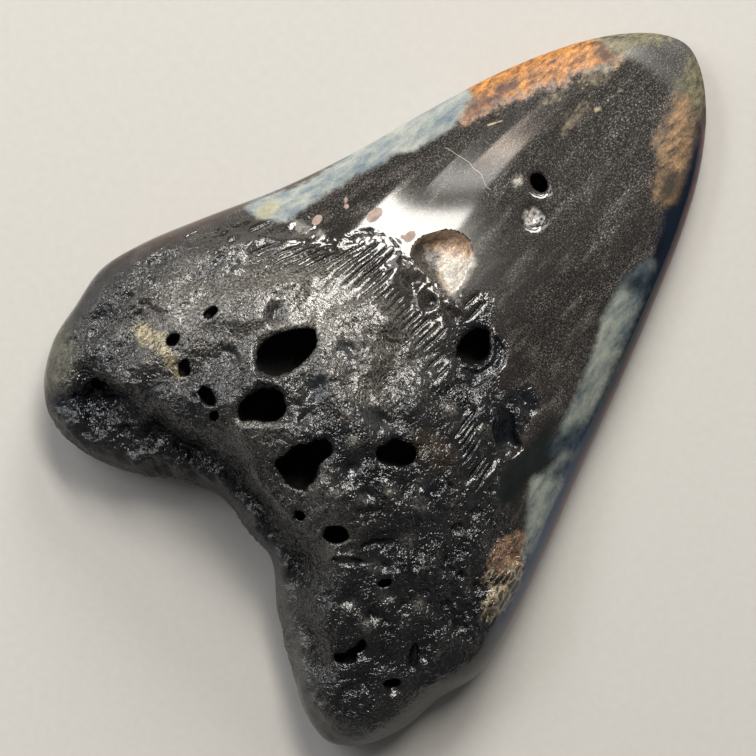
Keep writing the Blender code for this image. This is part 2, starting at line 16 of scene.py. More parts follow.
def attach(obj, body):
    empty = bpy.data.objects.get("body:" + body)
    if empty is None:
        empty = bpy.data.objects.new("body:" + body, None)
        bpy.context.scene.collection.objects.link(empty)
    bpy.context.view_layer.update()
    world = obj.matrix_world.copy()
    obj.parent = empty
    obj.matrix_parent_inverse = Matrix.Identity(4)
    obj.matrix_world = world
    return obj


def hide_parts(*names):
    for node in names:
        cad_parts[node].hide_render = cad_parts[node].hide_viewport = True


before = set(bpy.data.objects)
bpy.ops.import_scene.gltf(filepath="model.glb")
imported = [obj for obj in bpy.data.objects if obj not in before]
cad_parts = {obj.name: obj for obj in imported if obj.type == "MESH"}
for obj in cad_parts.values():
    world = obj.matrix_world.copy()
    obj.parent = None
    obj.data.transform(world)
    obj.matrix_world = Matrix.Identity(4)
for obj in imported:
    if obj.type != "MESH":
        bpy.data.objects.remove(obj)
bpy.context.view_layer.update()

# ============================================================ the tooth: its outline
# A shark's tooth, crown and root grown as one and turned to stone, then ground on wheels
# until its cutting edges went round.  Seen from above it is one smooth closed line.
MM = 0.001
OUTLINE_STEP = 0.45
CURVE_SAMPLES = 24     # places worked out between two given points
OUTLINE = (
    (-1.5, 63.8), (-5.6, 62.4), (-10.0, 58.6), (-15.1, 51.6), (-20.7, 40.0), (-24.4, 29.5),
    (-30.2, 10.0), (-34.6, -2.0), (-40.7, -15.2), (-44.9, -25.2), (-46.8, -33.0),
    (-45.6, -40.5), (-44.3, -47.0), (-40.6, -53.3), (-36.0, -56.8), (-29.5, -57.7),
    (-20.0, -54.7), (-11.5, -49.1), (-5.0, -46.6), (2.5, -47.8), (8.2, -48.3),
    (15.0, -53.9), (25.0, -60.1), (31.0, -63.2), (36.6, -63.8), (41.2, -60.4),
    (44.1, -53.6), (45.1, -45.5), (46.9, -38.0), (45.1, -28.0), (40.9, -15.2),
    (35.2, 0.0), (29.9, 15.0), (24.3, 29.6), (20.0, 40.0), (14.7, 50.0), (8.8, 57.6),
    (3.0, 62.3),
)


def curve(points, closed, step):
    """Catmull-Rom curve through the points, evenly spaced; a closed one turns left."""
    p = np.array(points, float)
    if closed:
        p = np.vstack((p[-1], p, p[0], p[1]))
    else:
        p = np.vstack((2 * p[0] - p[1], p, 2 * p[-1] - p[-2]))
    dense = []
    for a, b, c, d in zip(p, p[1:], p[2:], p[3:]):
        t1 = math.sqrt(np.linalg.norm(b - a))
        t2 = t1 + math.sqrt(np.linalg.norm(c - b))
        t3 = t2 + math.sqrt(np.linalg.norm(d - c))
        t = np.linspace(t1, t2, CURVE_SAMPLES, endpoint=False)[:, None]
        ab = (t1 - t) / t1 * a + t / t1 * b
        bc = (t2 - t) / (t2 - t1) * b + (t - t1) / (t2 - t1) * c
        cd = (t3 - t) / (t3 - t2) * c + (t - t2) / (t3 - t2) * d
        abc = (t2 - t) / t2 * ab + t / t2 * bc
        bcd = (t3 - t) / (t3 - t1) * bc + (t - t1) / (t3 - t1) * cd
        dense.append((t2 - t) / (t2 - t1) * abc + (t - t1) / (t2 - t1) * bcd)
    dense.append(p[-2][None])
    dense = np.vstack(dense)
    run = np.concatenate(([0.0], np.cumsum(np.linalg.norm(np.diff(dense, axis=0), axis=1))))
    count = max(int(round(run[-1] / step)), 6)
    at = np.linspace(0.0, run[-1], count if closed else count + 1, endpoint=not closed)
    out = np.column_stack([np.interp(at, run, dense[:, k]) for k in (0, 1)])
    after = np.roll(out, -1, axis=0)
    turn = (out[:, 0] * after[:, 1] - out[:, 1] * after[:, 0]).sum()
    return out[::-1] if closed and turn < 0.0 else out


def smooth_distance(p, loop):
    """Distance in from the loop, rounded off where two sides are equally near."""
    a, b = loop, np.roll(loop, -1, axis=0)
    along = b - a
    length = np.linalg.norm(along, axis=1)
    along = along / length[:, None]
    out = np.empty(len(p))
    for start in range(0, len(p), 2000):
        rel_x = p[start:start + 2000, 0, None] - a[:, 0]
        rel_y = p[start:start + 2000, 1, None] - a[:, 1]
        s1 = -(rel_x * along[:, 0] + rel_y * along[:, 1])
        s2 = s1 + length
        h2 = np.maximum((rel_x * along[:, 1] - rel_y * along[:, 0]) ** 2, 1e-8)
        weight = (s2 / np.sqrt(h2 + s2 * s2) - s1 / np.sqrt(h2 + s1 * s1)) / h2
        out[start:start + 2000] = np.sqrt(2.0 / weight.sum(axis=1))
    return out


outline = curve(OUTLINE, True, OUTLINE_STEP)
coarse_outline = outline[::2]
middle = (outline.min(axis=0) + outline.max(axis=0)) / 2

# ============================================================ the tooth: holes, pits, striae
# Boring animals and weather ate into the root before it was buried.  The deep holes are
# wells with rounded lips, darkened to black with depth by painted shade; the pits are shallow scoops; the
# striae run off the root.


def oval(x, y, rx, ry, turn=0.0, count=9):
    """Points round an oval; turn is in degrees."""
    c, s = math.cos(math.radians(turn)), math.sin(math.radians(turn))
    ring = [2 * math.pi * i / count for i in range(count)]
    return tuple((x + rx * math.cos(a) * c - ry * math.sin(a) * s,
                  y + rx * math.cos(a) * s + ry * math.sin(a) * c) for a in ring)


HOLES = (   # rim, depth
    (((-13.2, -15.2), (-11.5, -16.6), (-10.8, -19.5), (-11.2, -22.5), (-12.8, -25.1),
      (-15.0, -26.2), (-17.2, -24.9), (-17.9, -22.6), (-17.0, -19.6), (-15.4, -17.0)), 12.0),
    (((-9.8, -26.6), (-7.5, -27.8), (-7.1, -30.0), (-8.5, -31.8), (-10.1, -33.0),
      (-11.6, -34.4), (-13.2, -33.2), (-13.5, -31.0), (-12.9, -28.6), (-11.5, -27.1)), 11.0),
    (((1.2, -26.8), (2.9, -28.0), (2.8, -30.6), (4.0, -33.2), (3.6, -35.6), (1.6, -36.7),
      (-0.9, -36.2), (-2.7, -35.4), (-2.3, -33.2), (-2.0, -30.9), (-0.8, -28.8)), 12.0),
    (((12.4, -17.8), (13.6, -19.2), (13.0, -21.2), (11.0, -22.7), (9.0, -23.3),
      (8.0, -22.2), (8.3, -20.3), (9.4, -18.6)), 9.0),
    (((7.6, 4.7), (9.2, 3.5), (10.4, 2.2), (10.2, 0.0), (8.8, -1.3), (6.8, -1.5),
      (5.6, -0.4), (5.5, 2.2), (6.2, 4.0)), 9.0),
    (oval(-3.5, 29.0, 1.8, 1.3, -8), 6.0),
    (oval(12.8, -37.1, 2.1, 1.5, 32), 6.0),
    (((28.4, -46.9), (29.6, -47.4), (29.4, -49.2), (30.0, -50.4), (28.8, -51.6),
      (27.6, -52.5), (26.8, -51.9), (27.9, -50.5), (28.1, -48.9)), 5.0),
    (oval(-18.2, -35.4, 1.9, 1.05, -8), 5.0),
    (oval(-15.3, -36.9, 0.75, 0.95, 20, 7), 3.0),
    (oval(-29.1, -32.7, 0.9, 1.25, -12, 8), 4.0),
    (oval(-24.5, -34.8, 0.95, 1.5, 20, 8), 3.0),
    (oval(-27.7, -25.1, 0.85, 1.45, -10, 8), 2.6),
    (oval(6.3, -39.1, 0.85, 0.8, 0, 7), 3.0),
    (oval(-33.3, -46.9, 1.25, 0.8, 15, 8), 3.0),
    (oval(24.3, -37.4, 0.65, 1.15, -35, 8), 3.0),
    (oval(37.0, -48.8, 0.65, 1.5, -42, 8), 3.5),
)
HOLE_LIP = (1.4, 1.0)     # width and drop of the rounded lip
RIDGED_HOLE = 6           # this one has a low ridge round it: place, half width and rise
RIDGE_AT, RIDGE_HALF, RIDGE_RISE = 2.6, 1.0, 0.7
RIM_STEP = 0.3
PITS = (    # rim, depth, width of the sloping wall, tilt of the floor toward +x
    (((-5.8, 13.6), (-3.3, 12.4), (-2.2, 9.6), (-1.3, 7.0), (-1.4, 5.2), (-4.5, 4.7),
      (-8.8, 4.5), (-10.8, 5.4), (-11.3, 7.8), (-10.4, 10.2), (-8.6, 12.6)), 2.3, 3.4, -0.35),
    (((17.8, -2.9), (20.4, -2.2), (23.0, -4.0), (25.4, -5.0), (25.4, -7.4), (24.4, -9.1),
      (21.8, -8.0), (19.2, -6.4)), 2.2, 2.6, 0.3),
    (oval(-7.4, 2.1, 2.3, 1.9, 10), 1.2, 1.6, 0.2),
    (oval(-3.2, 1.4, 1.5, 1.5), 1.1, 1.2, 0.2),
    (oval(1.2, 2.4, 2.3, 1.2, -6), 1.1, 1.2, 0.2),
    (oval(-0.4, 24.3, 1.5, 1.9, 15), 1.1, 1.3, 0.3),
    (((8.8, 5.1), (11.8, 4.8), (13.5, 2.6), (13.2, -1.4), (12.4, -4.2), (10.4, -3.4),
      (8.6, -2.6), (10.8, -1.0), (11.4, 1.2), (10.6, 3.2)), 0.9, 0.7, 0.0),
    (oval(20.8, 0.7, 2.3, 1.5, -10), 0.8, 1.0, 0.0),
    (oval(-6.3, -21.8, 2.4, 3.0, 10), 1.5, 2.2, 0.2),
    (oval(4.4, -18.4, 3.0, 1.7, 8), 1.3, 1.6, 0.3),
    (oval(7.3, -27.3, 1.8, 2.1), 1.3, 1.6, 0.2),
    (oval(-4.4, -26.8, 1.5, 1.7), 1.1, 1.4, 0.2),
    (((-22.4, -28.3), (-22.0, -26.9), (-20.6, -25.9), (-19.0, -26.2), (-18.1, -27.7),
      (-19.4, -28.6)), 1.1, 1.2, 0.0),
    (oval(-19.9, -17.6, 1.8, 2.3, 15), 1.0, 1.5, 0.2),
    (oval(-6.8, -13.6, 2.6, 1.6), 1.0, 1.6, 0.1),
    (oval(21.6, -35.6, 2.2, 1.9, 20), 1.2, 1.7, 0.3),
    (oval(18.0, -34.4, 1.0, 2.6, -30), 1.3, 1.0, 0.0),
    (oval(17.4, -38.9, 3.0, 0.9, 38), 1.0, 0.8, 0.0),
    (oval(25.4, -38.0, 1.7, 2.0, -10), 1.0, 1.4, 0.1),
    (oval(17.6, -21.2, 1.3, 1.5), 0.9, 1.2, 0.2),
    (oval(19.3, -23.7, 1.3, 1.1), 0.8, 1.0, 0.2),
    (oval(11.4, -28.8, 1.5, 1.3), 1.0, 1.2, 0.2),
    (oval(22.2, -43.8, 1.5, 1.3), 0.9, 1.2, 0.1),
    (oval(26.6, -42.7, 1.6, 1.1, 20), 0.9, 1.0, 0.1),
    (oval(30.4, -47.9, 1.1, 1.5), 0.8, 1.0, 0.2),
    (oval(37.9, -48.9, 1.4, 1.9, -40), 1.2, 1.0, 0.0),
    (oval(36.6, -43.0, 0.9, 2.6, 38), 1.2, 0.9, 0.0),
    (oval(-39.0, -42.3, 0.9, 2.1, 42), 0.9, 0.8, 0.0),
    (oval(-26.0, -42.2, 1.5, 1.8, -10), 1.3, 1.3, 0.2),
    (oval(-30.2, -17.4, 1.1, 1.7, 10), 0.8, 1.0, 0.1),
    (oval(-32.9, -17.9, 0.9, 1.5), 0.7, 0.9, 0.1),
)
PIT_STEEPNESS = 3.0
CRISP_DEPTH, CRISP_WALL = 2.0, 1.0   # pits deeper or narrower than this keep a sharp rim
STRIAE = (  # two ends each
    ((-33.0, -11.5), (-31.0, -6.5)), ((-30.3, -14.0), (-27.6, -8.4)),
    ((-28.4, -14.8), (-24.8, -6.2)), ((-26.6, -14.2), (-22.6, -3.8)),
    ((-24.6, -12.6), (-21.2, -3.0)), ((-22.8, -12.4), (-19.4, -2.6)),
    ((-20.8, -10.6), (-17.6, 1.4)), ((-17.6, -8.0), (-15.9, 3.8)),
    ((-15.2, -7.5), (-14.2, 4.0)), ((-13.6, -6.5), (-12.8, 4.2)),
    ((-11.6, -7.0), (-10.9, 1.8)), ((-9.4, -5.6), (-9.0, -0.6)),
    ((-6.9, -5.8), (-6.7, -0.6)), ((-4.9, -5.4), (-4.6, -0.8)),
    ((-2.9, -5.6), (-2.7, -0.8)), ((-1.2, -5.2), (-1.0, 0.2)),
    ((0.7, -6.0), (0.9, 0.4)), ((2.0, 4.6), (2.1, 8.2)), ((2.1, -5.6), (2.2, 0.6)),
    ((3.8, 3.2), (3.9, 8.4)), ((4.8, -8.2), (4.8, -2.8)), ((6.9, -7.2), (7.0, -3.2)),
    ((15.9, -12.6), (15.1, -5.6)), ((17.8, -13.4), (17.4, -6.6)),
    ((20.2, -15.2), (19.0, -8.0)), ((22.6, -16.2), (21.6, -10.0)),
    ((24.9, -17.0), (23.4, -10.4)), ((-39.9, -19.6), (-39.2, -16.6)),
)
STRIA_HALF = 0.36
STRIA_DEPTH = 0.22
STRIA_GAP = 3.6      # closer pairs than this have a fainter, shorter one between them
STRIA_SHARE = (0.05, 0.4)   # how far its ends lie in from theirs
ROUGH_LINE = (   # where the smooth crown gives way to the rough root
    (-48.0, -12.5), (-40.0, -13.0), (-36.0, -13.0), (-33.5, -9.0), (-30.0, -4.5),
    (-27.0, -2.0), (-24.0, -3.0), (-21.0, -0.8), (-19.0, 2.6), (-15.0, 4.6), (-9.0, 4.6),
    (-3.0, 5.0), (0.5, 6.5), (3.0, 8.6), (5.0, 8.6), (7.0, 5.6), (12.0, 4.9), (14.0, 1.0),
    (16.0, -1.2), (18.5, 2.4), (21.5, 2.8), (23.5, -2.0), (25.0, -9.0), (28.0, -14.0),
    (33.0, -15.5), (41.0, -18.0), (48.0, -20.0),
)


def segment_distance(p, a, b):
    """Distance from each point to each segment."""
    along = b - a
    rel = p[:, None, :] - a[None]
    t = np.clip((rel * along).sum(axis=2) / (along ** 2).sum(axis=1), 0.0, 1.0)
    return np.linalg.norm(rel - t[..., None] * along, axis=2)


def inside(p, loop):
    """True for the points within the loop."""
    a, b = loop, np.roll(loop, -1, axis=0)
    out = np.empty(len(p), bool)
    for start in range(0, len(p), 4000):
        x, y = p[start:start + 4000, 0, None], p[start:start + 4000, 1, None]
        spans = (a[:, 1] > y) != (b[:, 1] > y)
        rise = np.where(b[:, 1] == a[:, 1], 1.0, b[:, 1] - a[:, 1])
        left = x < a[:, 0] + (y - a[:, 1]) / rise * (b[:, 0] - a[:, 0])
        out[start:start + 4000] = (spans & left).sum(axis=1) % 2 == 1
    return out


def loop_distance(p, loop, reach):
    """Signed distance to the loop, positive within; -reach for points farther out."""
    out = np.full(len(p), -float(reach))
    boxed = (p > loop.min(axis=0) - reach) & (p < loop.max(axis=0) + reach)
    near = np.where(boxed.all(axis=1))[0]
    after = np.roll(loop, -1, axis=0)
    for start in range(0, len(near), 2000):
        part = near[start:start + 2000]
        d = segment_distance(p[part], loop, after).min(axis=1)
        out[part] = np.maximum(np.where(inside(p[part], loop), d, -d), -reach)
    return out


holes = [(curve(rim, True, RIM_STEP), depth) for rim, depth in HOLES]
pits = [(curve(rim, True, RIM_STEP), depth, wall, tilt) for rim, depth, wall, tilt in PITS]
rough_line = curve(ROUGH_LINE, False, 0.25)
stria_ends = np.array(STRIAE, float)
pairs = [(one, two) for one, two in zip(stria_ends[:-1], stria_ends[1:])
         if np.linalg.norm((one - two).mean(axis=0)) < STRIA_GAP]
shares = np.random.default_rng(8).uniform(*STRIA_SHARE, (len(pairs), 2))
between = []
for (one, two), share in zip(pairs, shares):
    halfway = (one + two) / 2
    between.append(halfway + np.array([1.0, -1.0])[:, None] * share[:, None] * np.diff(halfway, axis=0))
faint = np.concatenate((np.zeros(len(stria_ends)), np.ones(len(between))))
stria_ends = np.concatenate((stria_ends, np.array(between)))

# ============================================================ the tooth: its two faces
# The domed face swells from a rounded rim over the crown to a thick root.  Round the notch
# between the lobes the root ends in a wall, with a furrow at its foot and a low ledge.  The
# other face was lapped flat, so only its rim turns up.
CROWN_RIM_HEIGHT, ROOT_RIM_HEIGHT = 3.2, 6.2
CROWN_EDGE, ROOT_EDGE = (2.0, 1.9), (4.6, 4.4)
UNDER_EDGE = 4.0
CROWN_DOME, TIP_DOME, DOME_BEND = 13.0, 1.4, 1.75
CROWN_RUN, RUN_ROUNDING = 72.0, 0.25
ROOT_FROM, ROOT_FULL = 6.0, -32.0      # along Y, where the crown ends and the root is full
SHOULDER = (4.0, 20.0, 17.0)           # width of the slope at the tip, added by the crown, root
BOSS = (-2.0, -25.0, 22.0, 21.0)       # middle and half widths of the swelling
BOSS_RISE, LOBE_FALL = 5.2, 0.45
LOBE_FROM, LOBE_TO = 8.0, 46.0
LEDGE_RISE, LEDGE_EDGE, LEDGE_SLOPE = 1.4, 8.0, 0.18
FURROW_DEPTH, FURROW_HALF = 1.7, 1.6
LUMPS = ((7.0, 0.4, 1.0), (3.6, 5.3, 0.55))     # size, seed, share
LUMP_HEIGHT, LUMPS_FADE = 0.75, 7.0
SMALL_LUMP, SMALL_LUMP_HEIGHT = 2.3, 0.26
NOTCH_WALL, FOOT_SWAY = 5.4, 1.3
NOTCH_ENDS = (-40.0, -31.0, 20.0, 32.0)
KNOB_STEEPNESS = 0.45
LAPPED_DIP = (-1.0, -40.0, 11.0, 9.0)  # a shallow hollow in the lapped face, under the root
DIP_DEPTH, DIP_EDGE = 1.6, 0.12
NOTCH_FOOT = (
    (-42.0, -46.0), (-36.0, -48.2), (-30.0, -48.8), (-25.0, -47.8), (-20.0, -46.3),
    (-13.0, -43.8), (-7.0, -42.7), (0.0, -43.3), (7.0, -44.4), (11.0, -46.6),
    (15.0, -49.8), (20.0, -53.4), (26.0, -57.0), (34.0, -60.4),
)
SWELLS = (   # long lumps and, with a negative rise, grooves: two ends, half width, rise
    ((-37.2, -30.5), (-34.0, -30.0), 1.0, 0.8), ((-40.2, -40.9), (-38.2, -43.4), 0.8, 0.6),
    ((-32.4, -26.3), (-32.3, -23.9), 0.9, 0.5), ((-36.0, -26.0), (-34.9, -21.6), 1.0, 0.5),
    ((-31.3, -19.8), (-30.0, -16.8), 0.9, 0.5), ((-27.0, -20.5), (-25.6, -17.0), 1.1, 0.5),
    ((-24.5, -17.0), (-22.5, -13.0), 1.2, 0.6), ((-22.0, -22.5), (-20.6, -19.8), 1.0, 0.5),
    ((-36.8, -54.8), (-28.6, -46.2), 1.9, -1.3), ((-21.5, -45.6), (-13.7, -43.4), 1.6, -0.9),
    ((-13.7, -43.4), (-6.5, -41.4), 1.6, -0.9), ((16.7, -37.5), (19.3, -32.1), 1.4, -0.8),
)
KNOBS = (    # low round knobs worn shiny: place, radius
    (7.8, -32.4, 1.3), (21.3, -36.3, 1.0), (19.1, -23.8, 1.1), (11.9, -29.6, 1.0), (17.0, -21.4, 0.9),
    (22.4, -43.8, 1.1), (25.4, -38.6, 1.2), (26.9, -44.6, 1.0), (22.0, -29.5, 1.2), (18.4, -7.9, 1.0),
    (12.4, -9.0, 1.1), (23.6, -7.2, 1.0), (-6.6, -18.6, 1.2), (-1.6, -12.2, 1.5), (3.4, -13.6, 1.3),
    (-12.6, -11.2, 1.6), (-21.4, -20.0, 1.5), (0.6, -21.6, 1.2), (14.4, -26.0, 1.1), (31.0, -36.0, 1.0),
    (-5.0, -5.2, 1.3), (4.6, -24.2, 1.2), (-29.5, -38.8, 1.1), (-36.4, -38.0, 1.2), (-26.0, -32.0, 1.0),
)
notch_foot = curve(NOTCH_FOOT, False, 0.25)
notch_slope = np.gradient(notch_foot[:, 1]) / np.gradient(notch_foot[:, 0])


def step_up(lo, hi, v):
    """0 below lo, 1 above hi, smooth between."""
    t = np.clip((v - lo) / (hi - lo), 0.0, 1.0)
    return t * t * (3.0 - 2.0 * t)


def quarter(d, reach):
    """Height of a quarter-round of unit height at a distance d in from its edge."""
    return np.sqrt(np.maximum(1.0 - (1.0 - np.minimum(d, reach) / reach) ** 2, 0.0))


def lump(p, size, seed):
    """Smooth noise from about -1 to 1 with lumps of the given size."""
    return np.array([2.0 * noise.noise(Vector((x / size, y / size, seed))) for x, y in p])


def bump(p, x, y, rx, ry):
    return np.exp(-((p[:, 0] - x) / rx) ** 2 - ((p[:, 1] - y) / ry) ** 2)


def rim_height(y):
    return CROWN_RIM_HEIGHT + (ROOT_RIM_HEIGHT - CROWN_RIM_HEIGHT) * step_up(10.0, -38.0, y)


def past_rough_line(p):
    """How far each point lies past the rough line, toward the root."""
    return np.interp(p[:, 0], rough_line[:, 0], rough_line[:, 1]) - p[:, 1]


def above_foot(p):
    """How far each point lies above the wandering foot of the notch's wall."""
    foot = np.interp(p[:, 0], notch_foot[:, 0], notch_foot[:, 1])
    slope = np.interp(p[:, 0], notch_foot[:, 0], notch_slope)
    return (p[:, 1] - foot) / np.sqrt(1.0 + slope ** 2) + FOOT_SWAY * lump(p, 9.0, 4.4)


def between_ends(x, ends):
    """1 between the two middle values of ends, fading to 0 at the outer ones."""
    return step_up(ends[0], ends[1], x) * (1.0 - step_up(ends[2], ends[3], x))


def furrow_share(p):
    """How much of its full depth the furrow has at each point."""
    return np.clip(0.6 + 0.8 * lump(p, 10.0, 8.2), 0.0, 1.2)


def rough_skin(p, d):
    """1 on the rough skin of the root, 0 on the crown and on the ground rim."""
    x, y = p[:, 0], p[:, 1]
    skin = step_up(-1.0, 0.8, past_rough_line(p))
    unground = np.maximum(step_up(-22.0, -30.0, y) * (x < 0.0), step_up(-38.0, -44.0, y))
    skin = skin * np.maximum(step_up(0.6, 4.5, d), unground * step_up(-0.1, 1.2, d))
    return skin * (1.0 - 0.7 * step_up(37.0, 42.0, x) * step_up(-34.0, -40.0, y))


def top_height(p, d):
    """Height of the domed face at points p, which lie d in from the outline."""
    x, y = p[:, 0], p[:, 1]
    root = step_up(ROOT_FROM, ROOT_FULL, y)
    edge_in = CROWN_EDGE[0] + (ROOT_EDGE[0] - CROWN_EDGE[0]) * root
    edge_up = CROWN_EDGE[1] + (ROOT_EDGE[1] - CROWN_EDGE[1]) * root
    base = rim_height(y) + edge_up * quarter(d, edge_in)

    from_tip = np.maximum((64.0 - y) / CROWN_RUN, 0.0)
    near_end = np.maximum(RUN_ROUNDING - np.abs(from_tip - 1.0), 0.0) / RUN_ROUNDING
    crown_run = np.minimum(from_tip, 1.0) - near_end ** 2 * RUN_ROUNDING / 4.0
    dome = TIP_DOME + (CROWN_DOME - TIP_DOME) * crown_run ** DOME_BEND
    dome = dome + BOSS_RISE * bump(p, *BOSS)
    dome = dome * (1.0 - LOBE_FALL * root * step_up(LOBE_FROM, LOBE_TO, np.abs(x + 1.0)))
    reach = (SHOULDER[0] + SHOULDER[1] * crown_run) * (1.0 - root) + SHOULDER[2] * root
    z = base + dome * (1.0 - (1.0 - np.minimum(d, reach) / reach) ** 2)

    above = above_foot(p)
    ends = between_ends(x, NOTCH_ENDS)
    ledge = base + LEDGE_RISE * quarter(d, LEDGE_EDGE) + LEDGE_SLOPE * d
    wall = NOTCH_WALL * (1.0 + 0.4 * lump(p, 11.0, 2.2))
    sunk = ends * (1.0 - step_up(-0.8, wall, above))
    z = z + (np.minimum(ledge, z) - z) * sunk
    cut = FURROW_DEPTH * furrow_share(p)
    z = z - ends * cut * np.exp(-((above - 0.2) / FURROW_HALF) ** 2) * step_up(0.5, 3.0, d)

    skin = rough_skin(p, d) * step_up(0.0, LUMPS_FADE, past_rough_line(p))
    z = z + skin * LUMP_HEIGHT * sum(share * lump(p, size, seed) for size, seed, share in LUMPS)
    lumpy = np.maximum(step_up(-2.0, 14.0, x), step_up(-36.0, -44.0, y))
    z = z + skin * SMALL_LUMP_HEIGHT * lump(p, SMALL_LUMP, 8.8) * lumpy

    for at_x, at_y, radius in KNOBS:
        z = z + KNOB_STEEPNESS * radius * bump(p, at_x, at_y, radius, radius) * step_up(0.4, 2.5, d)
    for a, b, half, rise in SWELLS:
        away = segment_distance(p, np.array([a]), np.array([b]))[:, 0] / half
        z = z + rise * np.exp(-away ** 2) * step_up(0.4, 2.5, d)

    across = stria_reach(p) / STRIA_HALF
    z = z - STRIA_DEPTH * np.exp(-across ** 2)

    strayed = p + 0.45 * np.column_stack((lump(p, 2.8, 1.7), lump(p, 2.8, 9.1)))
    for rim, depth, wall, tilt in pits:
        lean = 1.0 + tilt * (x - rim[:, 0].mean()) / np.ptp(rim[:, 0]) * 2.0
        if crisp(depth, wall):
            part = np.clip(loop_distance(p, rim, 0.01) / wall, 0.0, 1.0)
            fall = 1.0 - (1.0 - part) ** PIT_STEEPNESS
        else:
            fall = step_up(-0.45, 1.35 * wall, loop_distance(strayed, rim, 0.5))
        z = z - depth * lean * fall

    width, drop = HOLE_LIP
    for rim, depth in holes:
        size = min(1.0, (depth - 1.0) / 10.0)
        away = -loop_distance(p, rim, width)
        z = z - drop * size * (1.0 - np.clip(away / (width * size), 0.0, 1.0)) ** 2
    ring = -loop_distance(p, holes[RIDGED_HOLE][0], 6.0)
    return z + RIDGE_RISE * np.exp(-((ring - RIDGE_AT) / RIDGE_HALF) ** 2)


def crisp(depth, wall):
    return depth > CRISP_DEPTH or wall < CRISP_WALL


def stria_reach(p):
    """Distance to the nearest stria, counted longer toward its ends, where it tapers out."""
    out = np.full(len(p), 9.0)
    near = np.where((p[:, 1] > -24.0) & (p[:, 1] < 12.0))[0]
    a, along = stria_ends[:, 0], stria_ends[:, 1] - stria_ends[:, 0]
    for start in range(0, len(near), 4000):
        part = near[start:start + 4000]
        bent = p[part] + 0.1 * np.column_stack((lump(p[part], 2.4, 3.3), lump(p[part], 2.4, 6.9)))
        rel = bent[:, None, :] - a[None]
        t = np.clip((rel * along).sum(axis=2) / (along ** 2).sum(axis=1), 0.0, 1.0)
        away = np.linalg.norm(rel - t[..., None] * along, axis=2)
        away = away * (1.0 + 0.35 * faint) + 0.08 * faint + 0.5 * np.abs(2.0 * t - 1.0) ** 5
        out[part] = away.min(axis=1) * (1.0 + 0.25 * lump(p[part], 1.7, 3.3))
    return out


def under_height(p, d):
    """Height of the lapped face."""
    dip = DIP_DEPTH * bump(p, *LAPPED_DIP) * step_up(0.0, 3.0, d)
    dip = np.where(dip < DIP_EDGE, 0.0, dip - DIP_EDGE)
    return np.maximum(rim_height(p[:, 1]) * (1.0 - quarter(d, UNDER_EDGE)) + dip, 0.0)
